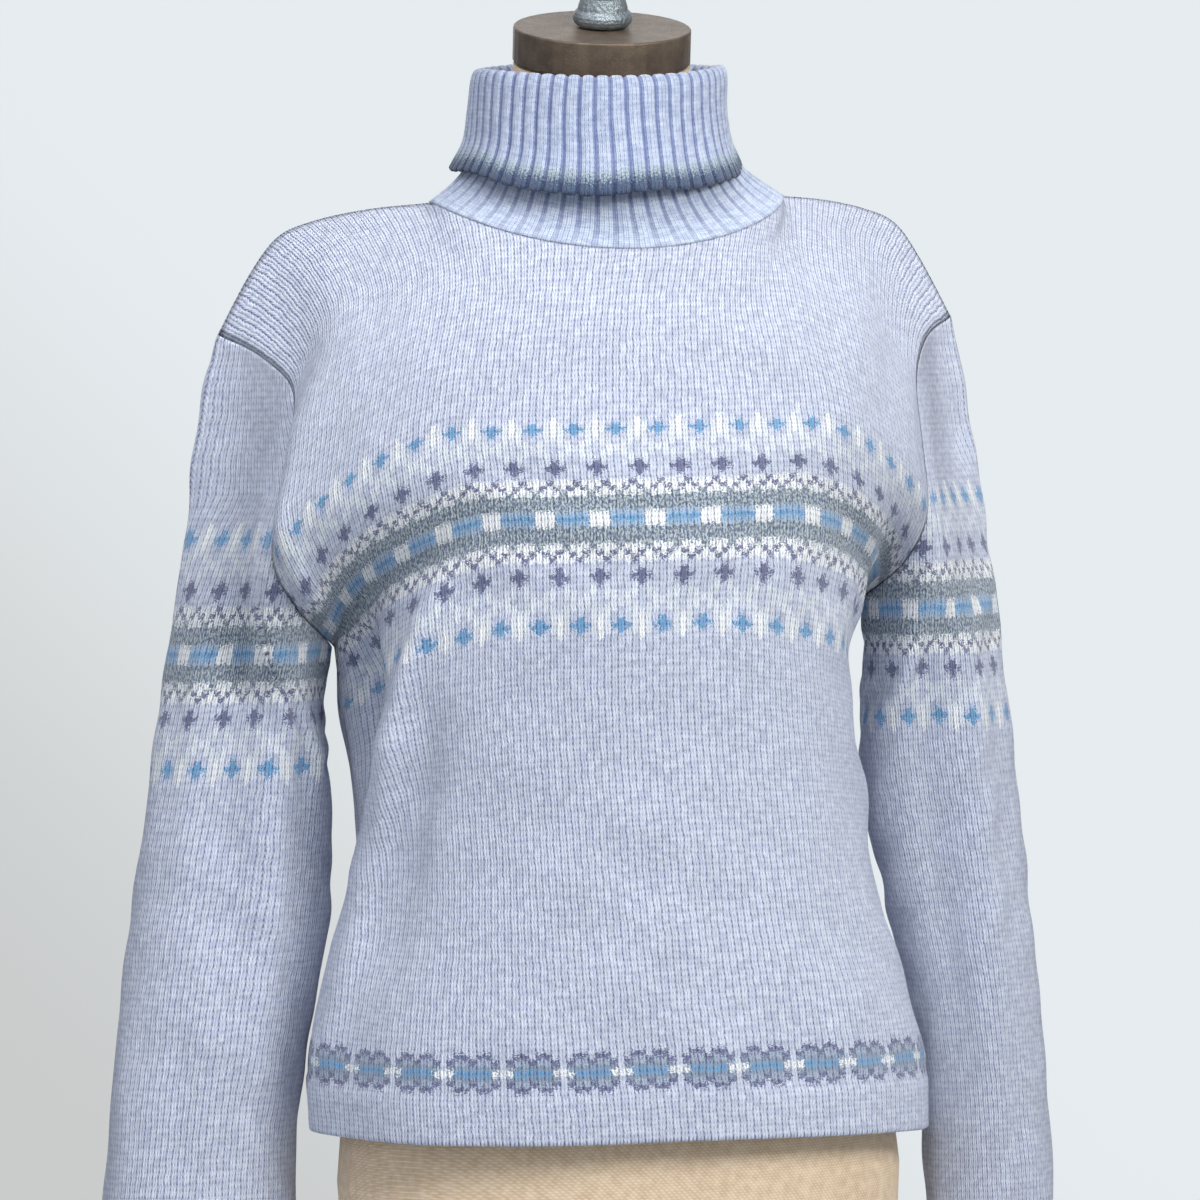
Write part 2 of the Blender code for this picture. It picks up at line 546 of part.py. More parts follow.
def make_torso(name, material):
    """The dress form: hips, waist, bust, shoulders and neck, closed flat at both ends."""
    sides = 36
    mesh = bmesh.new()
    rings = []
    for row in TORSO_ROWS:
        lean = math.tan(CAP_TILT) if row is TORSO_ROWS[-1] else 0.0
        ring = []
        for j in range(sides):
            angle = 2 * math.pi * j / sides
            side, ahead = math.sin(angle), math.cos(angle)
            power = 2 / row.square
            x = row.half_width * math.copysign(abs(side) ** power, side)
            middle = (row.front_y + row.back_y) / 2
            y = middle - (row.back_y - row.front_y) / 2 * math.copysign(abs(ahead) ** power, ahead)
            ring.append(mesh.verts.new((x, y, row.z + lean * (y - middle))))
        rings.append(ring)
    for low, high in zip(rings, rings[1:]):
        for j in range(sides):
            k = (j + 1) % sides
            mesh.faces.new((low[j], low[k], high[k], high[j]))
    mesh.faces.new(rings[0])
    mesh.faces.new(rings[-1])
    bmesh.ops.recalc_face_normals(mesh, faces=mesh.faces)
    return finished(name, mesh, material)


def turned(name, profile, material, steps=32, base=None, tilt=0.0):
    """A turned piece: a profile of radius and height, outer side down, spun by a Screw modifier."""
    mesh = bmesh.new()
    corners = [mesh.verts.new((radius, 0, height)) for radius, height in profile]
    for a, b in zip(corners, corners[1:]):
        mesh.edges.new((a, b))
    thing = finished(name, mesh, material)
    thing.location = base or Vector((0, 0, 0))
    thing.rotation_euler.x = tilt
    spin = thing.modifiers.new("Spin", "SCREW")
    spin.steps = spin.render_steps = steps
    spin.use_merge_vertices = True
    spin.merge_threshold = 0.0001
    return thing


def arc(middle, radius, start, end, count):
    """Points round part of a circle in a profile, by their angles in degrees."""
    turns = [math.radians(start + (end - start) * i / count) for i in range(count + 1)]
    return [(middle[0] + radius * math.cos(t), middle[1] + radius * math.sin(t)) for t in turns]


def make_cap(material):
    """The round cap on the form's neck, leaning forward with it."""
    edge = CAP_RADIUS - CAP_ROUND
    profile = [(0, CAP_HEIGHT)]
    profile += arc((edge, CAP_HEIGHT - CAP_ROUND), CAP_ROUND, 90, 0, 3)
    profile += arc((edge, CAP_ROUND), CAP_ROUND, 0, -90, 3)
    profile += [(0, 0)]
    turned("neck_cap", profile, material, 40, CAP_MIDDLE, CAP_TILT)


def make_finial(material):
    """The cast finial: a fat ring, a narrow waist and a round knob."""
    foot, waist, knob = 0.0175, 0.0130, 0.0185
    profile = [(0, 0.0640)]
    profile += arc((0, 0.0450), 0.0190, 78, 20, 6)
    profile += arc((knob + 0.0015, 0.0330), 0.0075, 100, 180, 4)[1:]
    profile += [(waist, 0.0225), (waist - 0.0002, 0.0175)]
    profile += [(waist + 0.0014, 0.0122)]
    profile += arc((foot - 0.0055, 0.0055), 0.0055, 60, -80, 6)
    profile += [(0, 0)]
    up = Vector((0, -math.sin(CAP_TILT), math.cos(CAP_TILT)))
    turned("finial", profile, material, 28, CAP_MIDDLE + up * (CAP_HEIGHT + SEAM_GAP), CAP_TILT)


def make_stand(material):
    """A round cast base with a hub, and the pole that the form stands on."""
    profile = [(0, HUB_TOP)]
    profile += arc((HUB_RADIUS - 0.003, HUB_TOP - 0.003), 0.003, 90, 0, 3)
    profile += arc((HUB_RADIUS + 0.016, STAND_CROWN + 0.016), 0.016, 180, 262, 5)
    profile += [(0.100, STAND_CROWN - 0.004), (0.150, STAND_RIM + 0.004)]
    profile += arc((STAND_RADIUS - 0.005, STAND_RIM - 0.004), 0.005, 80, 0, 4)
    profile += [(STAND_RADIUS, 0.001), (STAND_RADIUS - 0.001, 0), (0, 0)]
    turned("stand_base", profile, material, 44)
    low, high = HUB_TOP + SEAM_GAP, FORM_BOTTOM - SEAM_GAP
    turned("stand_pole", [(0, high), (POLE_RADIUS, high), (POLE_RADIUS, low), (0, low)], material, 24)


def main():
    for thing in list(bpy.data.objects):
        bpy.data.objects.remove(thing, do_unlink=True)
    collection = bpy.data.collections.new("sweater_on_form")
    bpy.context.scene.collection.children.link(collection)
    knit = plain("knit_lavender", (0.49, 0.54, 0.72), 0.95)
    rib = plain("rib_lavender", (0.47, 0.53, 0.71), 0.95)
    linen = plain("linen_cover", (0.74, 0.62, 0.50), 0.85)
    bronze = plain("bronze_cap", (0.16, 0.12, 0.10), 0.45, 0.6)
    cast = plain("cast_metal", (0.28, 0.31, 0.33), 0.40, 0.9)
    make_panel("sweater_front", FRONT, knit)
    make_panel("sweater_back", BACK, knit)
    make_sleeve("sleeve_left", RIGHT, knit)
    make_sleeve("sleeve_right", LEFT, knit)
    make_collar("sweater_collar", rib)
    make_torso("form_torso", linen)
    make_cap(bronze)
    make_finial(cast)
    make_stand(cast)


main()
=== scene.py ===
"""The looks of a drop-shoulder turtleneck sweater on its limbless dress form and stand.

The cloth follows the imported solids: the tables and functions that shape it are the same, read
on finer grids, with smaller creases, ribs, seams and stitches added. Metres, up is +Z, the
front faces -Y and the wearer's left is +X.
"""

import math
from collections import namedtuple
from functools import lru_cache, partial

import bpy
import numpy as np
from mathutils import Matrix, Vector


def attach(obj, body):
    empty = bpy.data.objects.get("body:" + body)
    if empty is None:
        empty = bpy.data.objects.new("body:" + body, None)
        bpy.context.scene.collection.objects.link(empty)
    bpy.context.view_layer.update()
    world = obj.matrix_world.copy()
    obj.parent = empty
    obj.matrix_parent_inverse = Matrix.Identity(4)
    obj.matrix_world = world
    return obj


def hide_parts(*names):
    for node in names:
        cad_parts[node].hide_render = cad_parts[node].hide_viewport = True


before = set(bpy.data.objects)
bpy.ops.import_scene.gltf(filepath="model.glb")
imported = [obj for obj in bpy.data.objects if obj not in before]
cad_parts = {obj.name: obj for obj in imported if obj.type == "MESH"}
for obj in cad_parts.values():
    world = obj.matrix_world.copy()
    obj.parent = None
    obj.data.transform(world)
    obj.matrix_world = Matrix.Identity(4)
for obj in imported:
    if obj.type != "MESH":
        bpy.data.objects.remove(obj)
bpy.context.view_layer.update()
scene = bpy.context.scene

WALL = 0.003  # the knitted cloth
RIM = 0.0030  # along a seam, the inner side stops this much further short
STITCH = 0.0041  # one stitch across the chest
HALF_STITCHES = 63  # from the middle of a panel to its edge
UNDERARM = 86  # the course where the side seam ends
YOKE = 114  # the course where the rows start to turn towards the shoulders
TOP = 145  # the course at the shoulder seam
NECK_U, NECK_SHARE = 0.03, 0.47  # the neckline's middle, and its reach along u to either side
NECK_ANGLE = math.radians(96)  # from the middle of the front neckline to the shoulder seam

NECK_MIDDLE = (0.003, -0.025, 1.354)
NECK_HALF_WIDTH, NECK_HALF_DEPTH = 0.105, 0.080
NECK_FRONT_DROP, NECK_BACK_DROP = 0.031, 0.002
NECK_CURVE = 1.5  # how late the neckline and the collar's edges drop towards the front and back
ROW_FALL = 1.35  # how late a row of stitches falls towards its edges
ROW_PACE = 0.8  # how far the stitches of a row crowd where the row turns away at its edges
YOKE_TURN = (1.2, 2, 2)  # how late the yoke's rows turn to the shoulders, along x, y and z
YOKE_SOFTNESS = 0.16  # how far along u the shoulders' outline is blurred at the yoke's start
CALM_COURSES, CALM_U, CALM_DOWN = 6, 0.12, 0.08  # the folds fade out this close to the seams

FRONT, BACK, LEFT, RIGHT = -1, 1, -1, 1


def table(kind, rows, lengths=None):
    """A table's rows. The columns after the first, up to that one, are given in millimetres."""
    last = lengths or len(rows[0])
    return tuple(
        kind(row[0], *(size / 1000 for size in row[1 : last + 1]), *row[last + 1 :]) for row in rows
    )


# How a panel's rows of stitches lie. x, y, z are the row's middle, wrap is half the angle that
# the row turns through, corner_* fill out the quarters, and start_* say how far out along u the
# row begins to fall towards its edge.
Row = namedtuple("Row", "course x y z wrap corner_minus corner_plus start_minus start_plus")
PANEL_ROWS = {
    FRONT: table(Row, (
        (0, -4, -124, 812, 90, 0.07, 0.05, 0.1, 0.05),
        (10, -6, -125, 852, 90, 0.07, 0.05, 0.1, 0.05),
        (40, -14, -123, 982, 90, 0.04, 0.05, 0.15, 0.1),
        (60, -18, -127, 1065, 90, 0.03, 0.05, 0.22, 0.15),
        (71, -18, -132, 1108, 90, 0.02, 0.05, 0.25, 0.2),
        (86, -18, -136, 1160, 88, 0.02, 0.06, 0.28, 0.38),
        (96, -18, -135, 1190, 80, 0.01, 0.04, 0.33, 0.43),
        (107, -18, -131, 1221, 72, 0, 0.02, 0.38, 0.48),
        (125, -12, -121, 1274, 66, 0, 0, 0.45, 0.5), (145, 3, -105, 1323, 80, 0, 0, 0.5, 0.5),
    ), lengths=3),
    BACK: table(Row, (
        (0, 0, 118, 806, 90, 0.05, 0.05, 0.1, 0.1), (10, 0, 118, 846, 90, 0.05, 0.05, 0.1, 0.1),
        (40, 0, 104, 972, 90, 0.05, 0.05, 0.15, 0.15),
        (60, 0, 106, 1052, 90, 0.05, 0.05, 0.25, 0.25),
        (71, 0, 111, 1095, 90, 0.05, 0.05, 0.3, 0.3),
        (86, 0, 117, 1152, 88, 0.04, 0.04, 0.35, 0.35),
        (96, 0, 119, 1189, 84, 0.02, 0.02, 0.38, 0.38), (107, 0, 119, 1228, 78, 0, 0, 0.4, 0.4),
        (125, 0, 105, 1291, 72, 0, 0, 0.45, 0.45), (145, 3, 55, 1352, 80, 0, 0, 0.5, 0.5),
    ), lengths=3),
}

# A panel's edges: the side seams up to the underarm, then the armholes up to the shoulder tip.
Edge = namedtuple("Edge", "course x y z")
SIDE_SEAMS = {
    LEFT: table(Edge, (
        (0, -181, 6, 818), (10, -180, 6, 857), (20, -170, 6, 897), (30, -157, 7, 936),
        (40, -149, 8, 975), (60, -153, 8, 1030), (71, -157, 8, 1058), (86, -160, 10, 1095),
    )),
    RIGHT: table(Edge, (
        (0, 186, 6, 799), (10, 185, 6, 842), (20, 175, 6, 885), (30, 162, 7, 928),
        (40, 154, 8, 968), (60, 147, 8, 1036), (71, 145, 8, 1071), (86, 157, 10, 1112),
    )),
}
ARMHOLES = {
    (LEFT, FRONT): table(Edge, (
        (86, -160, 10, 1095), (97, -190, -44, 1120), (107, -208, -68, 1150), (118, -201, -64, 1193),
        (129, -190, -43, 1240), (137, -203, -13, 1263), (145, -222, 22, 1279),
    )),
    (RIGHT, FRONT): table(Edge, (
        (86, 157, 10, 1112), (97, 172, -40, 1135), (107, 181, -63, 1164), (118, 182, -58, 1202),
        (129, 187, -37, 1241), (137, 201, -9, 1266), (145, 223, 22, 1281),
    )),
    (LEFT, BACK): table(Edge, (
        (86, -160, 10, 1095), (97, -177, 58, 1125), (107, -184, 80, 1163), (118, -187, 84, 1202),
        (129, -193, 71, 1238), (137, -205, 50, 1262), (145, -222, 22, 1279),
    )),
    (RIGHT, BACK): table(Edge, (
        (86, 157, 10, 1112), (97, 172, 58, 1138), (107, 180, 80, 1170), (118, 185, 84, 1206),
        (129, 193, 71, 1241), (137, 206, 50, 1265), (145, 223, 22, 1281),
    )),
}
# The shoulder seam, from the neckline out to the tip.
Shoulder = namedtuple("Shoulder", "out x y z")
SHOULDER_SEAM = table(Shoulder, (
    (0, 105.5, -11, 1353.5), (0.25, 138, 0, 1351), (0.5, 168, 9, 1345), (0.66, 187, 14, 1336.5),
    (0.8, 202, 18, 1317), (1, 222.5, 22, 1280),
))

# A sleeve's rings: the ends of each ring on the outer and the inner side of the arm, the y of
# both, and how far the cloth stands in front of and behind that line.
Ring = namedtuple("Ring", "down outer_x outer_z inner_x inner_z y front back")
SLEEVE_RINGS = {
    LEFT: table(Ring, (
        (0, -222, 1279, -160, 1095, 14, 75, 68), (0.07, -230, 1250, -163, 1078, 18, 68, 62),
        (0.16, -239, 1200, -164, 1056, 22, 57, 52), (0.28, -249, 1135, -163, 1028, 24, 45, 42),
        (0.42, -263, 1058, -162, 984, 25, 36, 36), (0.57, -277, 974, -166, 930, 26, 31, 32),
        (0.72, -290, 888, -179, 864, 26, 30, 32), (0.85, -300, 806, -189, 796, 26, 30, 31),
        (1, -311, 708, -190, 704, 26, 28, 29),
    )),
    RIGHT: table(Ring, (
        (0, 223, 1281, 157, 1112, 14, 74, 68), (0.07, 229, 1250, 160, 1092, 18, 67, 62),
        (0.16, 237, 1200, 161, 1066, 22, 56, 52), (0.28, 243, 1135, 161, 1034, 24, 45, 42),
        (0.42, 251, 1056, 163, 986, 25, 37, 36), (0.57, 259, 972, 174, 930, 26, 32, 32),
        (0.72, 266, 886, 188, 864, 26, 31, 32), (0.85, 271, 806, 194, 796, 26, 31, 31),
        (1, 275, 708, 194, 704, 26, 29, 29),
    )),
}
SLEEVE_BLEND = 0.34  # the share of a sleeve over which the armhole's own outline fades away
SLEEVE_FLARE = 0.085  # how strongly the cloth leaves the armhole's front and back outwards
BESIDE_ARMHOLE = 0.96  # the place along u whose step to the armhole gives that direction

# The largest folds. Each follows its points in (u, course) on a panel, or in (degrees round,
# down) on a sleeve, with the cloth lifted there, or sunk, and width to either side.
U_SIZE, COURSE_SIZE, DEGREE_SIZE, DOWN_SIZE = 0.235, 0.0036, 0.00075, 0.58
COLLAR_STEP_SIZE = 0.0146
Fold = namedtuple("Fold", "width points")


def folds(*lines):
    """Folds from their widths and points, with widths and heights given in millimetres."""
    return tuple(
        Fold(width / 1000, tuple((at, along, height / 1000) for at, along, height in places))
        for width, *places in lines
    )


PANEL_FOLDS = {
    FRONT: folds(
        (26, (-0.4, 80, 0), (-0.6, 62, 8), (-0.74, 48, 18), (-0.8, 36, 19), (-0.84, 18, 11),
         (-0.86, 0, 8)),
        (24, (-0.8, 88, -4), (-0.84, 74, -13), (-0.88, 56, -8), (-0.92, 44, 0)),
        (22, (-0.33, 74, 0), (-0.4, 55, 3), (-0.52, 38, 4), (-0.62, 24, 0)),
        (30, (-0.93, 100, 4), (-0.86, 122, 6), (-0.72, 136, 0)),
        (24, (0.86, 92, -4), (0.72, 108, -2), (0.62, 124, 0)),
    ),
    BACK: folds(
        (26, (-0.86, 92, -4), (-0.66, 74, -6), (-0.44, 52, 0)),
        (26, (0.86, 92, -4), (0.64, 70, -5), (0.48, 46, 0)),
        (30, (-0.7, 44, 0), (-0.62, 24, 5), (-0.6, 0, 6)),
        (30, (0.72, 50, 0), (0.66, 26, 5), (0.62, 0, 5)),
    ),
}
SLEEVE_FOLDS = {
    LEFT: folds(
        (11, (104, 0.04, 4), (101, 0.2, 8), (99, 0.45, 9), (104, 0.62, 7), (110, 0.8, 0)),
        (11, (80, 0.06, 0), (78, 0.22, -8), (78, 0.45, -7), (84, 0.62, -4), (90, 0.74, 0)),
        (14, (262, 0.1, 0), (256, 0.3, -7), (262, 0.6, -5), (268, 0.85, 0)),
    ),
    RIGHT: folds(
        (12, (74, 0.12, 0), (70, 0.35, 6), (76, 0.62, 6), (86, 0.9, 0)),
        (13, (112, 0.14, 0), (108, 0.36, -6), (112, 0.66, -5), (118, 0.86, 0)),
        (14, (266, 0.12, 0), (258, 0.36, -7), (264, 0.7, 0)),
    ),
}

# The collar, from the neckline up the neck, over the fold and down to its rim.
Collar = namedtuple("Collar", "step x y half_width half_depth front_z side_z back_z")
COLLAR_ROWS = table(Collar, (
    (0, 3, -25, 105, 80, 1323, 1354, 1352), (1, 2, -27, 92.5, 75, 1332.5, 1361.5, 1360),
    (2, 0, -30, 81, 70, 1347, 1370.5, 1370.5), (3, -1, -31, 71.5, 67.5, 1369, 1383, 1387),
    (4, -1, -32, 68, 65, 1396, 1405, 1411), (5, -1, -32, 67.5, 64.5, 1416, 1424, 1430),
    (6, -1, -32, 70.8, 67.8, 1421.5, 1429.5, 1436), (7, -1, -32, 74.1, 71.1, 1416, 1424.5, 1431),
    (8, -2, -32, 75.2, 72.2, 1397, 1406.5, 1413), (9, -2, -32, 77.8, 75.2, 1374, 1388, 1396),
    (10, -3, -32, 85, 82, 1354, 1372, 1382),
))

def read(table, column, at):
    """A named column of a table, read at places between its rows along a smooth curve."""
    keys = np.array([row[0] for row in table], float)
    values = np.array([getattr(row, column) for row in table], float)
    last = len(keys) - 1
    after = np.minimum(np.arange(last + 1) + 1, last)
    before = np.maximum(np.arange(last + 1) - 1, 0)
    slopes = (values[after] - values[before]) / (keys[after] - keys[before])
    at = np.clip(at, keys[0], keys[last])
    i = np.clip(np.searchsorted(keys, at, side="right") - 1, 0, last - 1)
    span = keys[i + 1] - keys[i]
    t, rise = (at - keys[i]) / span, values[i + 1] - values[i]
    start, end = slopes[i] * span, slopes[i + 1] * span
    return values[i] + t * (start + t * (3 * rise - 2 * start - end + t * (start + end - 2 * rise)))


def read_all(rows, at):
    """A row of a table as it would be at places between its rows."""
    kind = type(rows[0])
    return kind(at, *(read(rows, name, at) for name in kind._fields[1:]))


def points(x, y, z):
    """Points from their three coordinates, which may be numbers or arrays."""
    return np.stack(np.broadcast_arrays(x, y, z), axis=-1)


def edge_points(face, hand, course):
    """Points on a panel's side seam or, above the underarm, on its armhole."""
    side = points(*(read(SIDE_SEAMS[hand], column, course) for column in "xyz"))
    arm = points(*(read(ARMHOLES[hand, face], column, course) for column in "xyz"))
    return np.where((np.asarray(course) > UNDERARM)[..., None], arm, side)


def neckline(angle):
    """The neckline, by its angle from the middle of the front."""
    ahead = np.cos(angle)
    drop = np.where(ahead > 0, NECK_FRONT_DROP, NECK_BACK_DROP) * np.abs(ahead) ** NECK_CURVE
    x, y, z = NECK_MIDDLE
    return points(x + NECK_HALF_WIDTH * np.sin(angle), y - NECK_HALF_DEPTH * ahead, z - drop)


def neck_turn(face):
    """The angle that one side of a panel's neckline turns through."""
    return NECK_ANGLE if face == FRONT else math.pi - NECK_ANGLE


def top_edge(face, u):
    """A panel's top edge: the neckline in the middle, and a shoulder seam on either side."""
    from_neck = u - NECK_U
    angle = np.arcsin(np.clip(from_neck / NECK_SHARE, -1, 1)) / (math.pi / 2) * neck_turn(face)
    neck = neckline(angle if face == FRONT else math.pi - angle)
    beyond = np.abs(from_neck) - NECK_SHARE
    out = np.clip(beyond / (1 - np.copysign(NECK_U, from_neck) - NECK_SHARE), 0, 1)
    x, y, z = (read(SHOULDER_SEAM, column, out) for column in "xyz")
    seam = points(np.copysign(x, u), y, z)
    first = points(np.copysign(SHOULDER_SEAM[0].x, u), SHOULDER_SEAM[0].y, SHOULDER_SEAM[0].z)
    seam += (neckline(np.copysign(NECK_ANGLE, u)) - first) * ((1 - out) ** 2)[..., None]
    return np.where((beyond > 0)[..., None], seam, neck)


def row_points(face, u, course):
    """Points on the curves of rows of stitches, before the yoke turns them to the shoulders."""
    value = read_all(PANEL_ROWS[face], course)
    minus = u < 0
    left, right = (edge_points(face, hand, course) for hand in (LEFT, RIGHT))
    edge = np.where(minus[..., None], left, right)
    corner = np.where(minus, value.corner_minus, value.corner_plus)
    start = np.where(minus, value.start_minus, value.start_plus)
    out, wrap = np.abs(u), np.radians(value.wrap)
    reach = np.abs(edge[..., 0] - value.x) * wrap / np.sin(wrap)
    pace = ROW_PACE * (HALF_STITCHES * STITCH / reach - 1)
    turn = wrap * out * (1 + pace * (1 - out))
    full = 1 + corner * np.sin(2 * turn) ** 2
    across = np.sin(turn) / np.sin(wrap) * full
    ahead = (np.cos(turn) - np.cos(wrap)) / (1 - np.cos(wrap)) * full
    fall = np.clip((out - start) / (1 - start), 0, 1) ** ROW_FALL
    return points(
        value.x + (edge[..., 0] - value.x) * across,
        edge[..., 1] + (value.y - edge[..., 1]) * ahead,
        value.z + (edge[..., 2] - value.z) * fall,
    )


def panel_points(face, u, course):
    """Points on the front or the back. Its rows turn over at the top to meet the shoulders."""
    u, course = np.broadcast_arrays(np.asarray(u, float), np.asarray(course, float))
    share = np.clip((course - YOKE) / (TOP - YOKE), 0, 1)
    steps = (-1, -0.5, 0, 0.5, 1)
    offset = 0
    for step in steps:
        near = np.clip(u + step * YOKE_SOFTNESS * (1 - share), -1, 1)
        offset = offset + top_edge(face, near) - row_points(face, near, np.full_like(near, TOP))
    turn_x, turn_y, turn_z = YOKE_TURN
    amount = points(share**turn_x, share**turn_y, 1 - (1 - share) ** turn_z)
    return row_points(face, u, course) + offset / len(steps) * amount


@lru_cache(None)
def armhole_outline(hand):
    """The armhole round a sleeve, at every half degree, and the way outwards from it there."""
    degrees = np.arange(0, 360.5, 0.5)
    course = UNDERARM + np.abs(degrees - 180) * (TOP - UNDERARM) / 180
    in_front = (degrees <= 180)[..., None]
    armhole, beside = (
        np.where(in_front, *(panel_points(face, hand * u, course) for face in (FRONT, BACK)))
        for u in (1, BESIDE_ARMHOLE)
    )
    outward = (armhole - beside) / np.linalg.norm(armhole - beside, axis=-1, keepdims=True)
    return degrees, armhole, outward


def sleeve_points(hand, degrees, down):
    """Points on a sleeve: 0 degrees is its outer side, 90 its front and 180 its inner side."""
    degrees, down = np.broadcast_arrays(np.asarray(degrees, float), np.asarray(down, float))
    angle = np.radians(degrees)

    def on_ring(place):
        value = read_all(SLEEVE_RINGS[hand], place)
        outer = points(value.outer_x, value.y, value.outer_z)
        inner = points(value.inner_x, value.y, value.inner_z)
        depth = np.where(np.sin(angle) > 0, value.front, value.back)
        middle = (outer + inner) / 2
        across = (outer - middle) * np.cos(angle)[..., None]
        return middle + across - points(0, depth * np.sin(angle), 0)

    known, *outlines = armhole_outline(hand)
    armhole, outward = (
        np.stack([np.interp(degrees, known, line[:, axis]) for axis in range(3)], axis=-1)
        for line in outlines
    )
    share = np.clip(down / SLEEVE_BLEND, 0, 1)
    keep = ((1 - share) ** 2 * (1 + 2 * share))[..., None]
    flare = (SLEEVE_FLARE * share * (1 - share) ** 2 * np.sin(angle) ** 2)[..., None]
    return on_ring(down) + (armhole - on_ring(np.zeros_like(down))) * keep + outward * flare


def collar_points(degrees, step):
    """Points on the collar's middle surface, by their angle from the middle of the front."""
    degrees, step = np.broadcast_arrays(np.asarray(degrees, float), np.asarray(step, float))
    value = read_all(COLLAR_ROWS, step)
    angle = np.radians(degrees)
    ahead = np.cos(angle)
    end_z = np.where(ahead > 0, value.front_z, value.back_z)
    return points(
        value.x + value.half_width * np.sin(angle),
        value.y - value.half_depth * ahead,
        value.side_z + (end_z - value.side_z) * np.abs(ahead) ** NECK_CURVE,
    )


def fold_lift(folds, first, second, sizes):
    """How far the folds lift the cloth, with the sizes in metres of one unit of each coordinate."""
    first, second = np.broadcast_arrays(np.asarray(first) * sizes[0], np.asarray(second) * sizes[1])
    lift = np.zeros(first.shape)
    for fold in folds:
        nearest, height = np.full(lift.shape, np.inf), np.zeros(lift.shape)
        for a, b in zip(fold.points, fold.points[1:]):
            ax, ay = a[0] * sizes[0], a[1] * sizes[1]
            dx, dy = b[0] * sizes[0] - ax, b[1] * sizes[1] - ay
            share = np.clip(((first - ax) * dx + (second - ay) * dy) / (dx * dx + dy * dy), 0, 1)
            away = np.hypot(first - ax - dx * share, second - ay - dy * share)
            closer = away < nearest
            nearest = np.where(closer, away, nearest)
            height = np.where(closer, a[2] + (b[2] - a[2]) * share, height)
        lift += height * hump(nearest, fold.width)
    return lift


def panel_surface(face):
    """The finished surface of a panel, folds included, as a function of u and course."""
    def base(u, course):
        return panel_points(face, u, np.clip(course, 0, TOP))

    def surface(u, course):
        calm = np.clip((TOP - course) / CALM_COURSES, 0, 1)
        calm = calm * np.clip((1 - np.abs(u)) / CALM_U, 0, 1)
        lift = fold_lift(PANEL_FOLDS[face], u, course, (U_SIZE, COURSE_SIZE)) * calm
        return base(u, course) + directions(base, u, course, 0.01, 0.5) * lift[..., None] * -face

    return surface


def sleeve_surface(hand):
    """The finished surface of a sleeve, as a function of degrees round and the share down."""
    def base(degrees, down):
        return sleeve_points(hand, degrees % 360, down)

    def surface(degrees, down):
        lift = fold_lift(SLEEVE_FOLDS[hand], degrees % 360, down, (DEGREE_SIZE, DOWN_SIZE))
        lift *= np.clip(down / CALM_DOWN, 0, 1)
        square = directions(base, degrees, down, 1.0, 0.004) * hand
        return base(degrees, down) + lift_direction(hand, square, degrees) * lift[..., None]

    return surface


def lift_direction(hand, square, degrees):
    """Which way a sleeve's folds rise: square to the cloth, or straight off the arm."""
    if hand == RIGHT:
        return square
    angle = np.radians(degrees)  # on this side the cloth turns in sharply below the armhole
    return points(hand * np.cos(angle), -np.sin(angle), 0)


def directions(surface, first, second, first_step, second_step):
    """The directions square to a surface, which point outwards where its two steps turn so."""
    first, second = np.broadcast_arrays(np.asarray(first, float), np.asarray(second, float))
    across = surface(first + first_step, second) - surface(first - first_step, second)
    along = surface(first, second + second_step) - surface(first, second - second_step)
    square = np.cross(across, along)
    return square / np.linalg.norm(square, axis=-1, keepdims=True)


# Finer creases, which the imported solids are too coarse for.
PANEL_CREASES = {
    FRONT: folds(
        (17, (-0.72, 88, 0), (-0.76, 80, -8), (-0.76, 68, -16), (-0.77, 54, -14), (-0.82, 38, -5),
         (-0.86, 26, 0)),
        (9, (-0.4, 86, 0), (-0.48, 77, 4.5), (-0.545, 67, 8.5), (-0.61, 55, 9.5), (-0.66, 46, 8),
         (-0.73, 34, 5), (-0.8, 10, 2)),
        (11, (-0.46, 66, 0), (-0.5, 54, -3.5), (-0.56, 40, -3), (-0.62, 24, 0)),
        (12, (-0.88, 96, 0), (-0.8, 86, 4.5), (-0.68, 74, 3), (-0.6, 68, 0)),
        (10, (-0.92, 84, 0), (-0.86, 66, -4), (-0.84, 52, 0)),
        (14, (0.58, 98, 0), (0.74, 88, 3), (0.88, 80, 4), (0.96, 76, 0)),
        (12, (0.62, 90, 0), (0.78, 80, -3), (0.92, 72, 0)),
        (13, (0.93, 66, 0), (0.86, 50, 3.5), (0.84, 34, 0)),
        (16, (0.6, 44, 0), (0.66, 24, 2.2), (0.7, 2, 2.5)),
        (16, (0.1, 30, 0), (0.14, 14, 1.4), (0.15, 0, 1.8)),
        (14, (-0.3, 26, 0), (-0.34, 12, -1.6), (-0.36, 0, -2)),
        (13, (-0.8, 132, 0), (-0.7, 120, 2.8), (-0.56, 108, 0)),
        (13, (0.84, 130, 0), (0.72, 121, 2.6), (0.55, 112, 0)),
        (12, (-0.95, 130, 0), (-0.93, 118, 4), (-0.92, 100, 5.5), (-0.91, 88, 3), (-0.9, 78, 0)),
    ),
    BACK: folds(
        (14, (-0.95, 90, 0), (-0.74, 80, 3.5), (-0.48, 66, 0)),
        (14, (0.95, 92, 0), (0.76, 80, 3.5), (0.52, 70, 0)),
        (13, (-0.3, 62, 0), (-0.1, 58, 2.2), (0.16, 61, 0)),
        (12, (-0.2, 54, 0), (0.05, 50, -1.8), (0.3, 55, 0)),
        (16, (0.2, 30, 0), (0.22, 12, 2), (0.24, 0, 2.2)),
        (14, (-0.86, 128, 0), (-0.72, 120, 2.5), (-0.52, 112, 0)),
        (14, (0.86, 128, 0), (0.7, 122, 2.5), (0.5, 113, 0)),
    ),
}
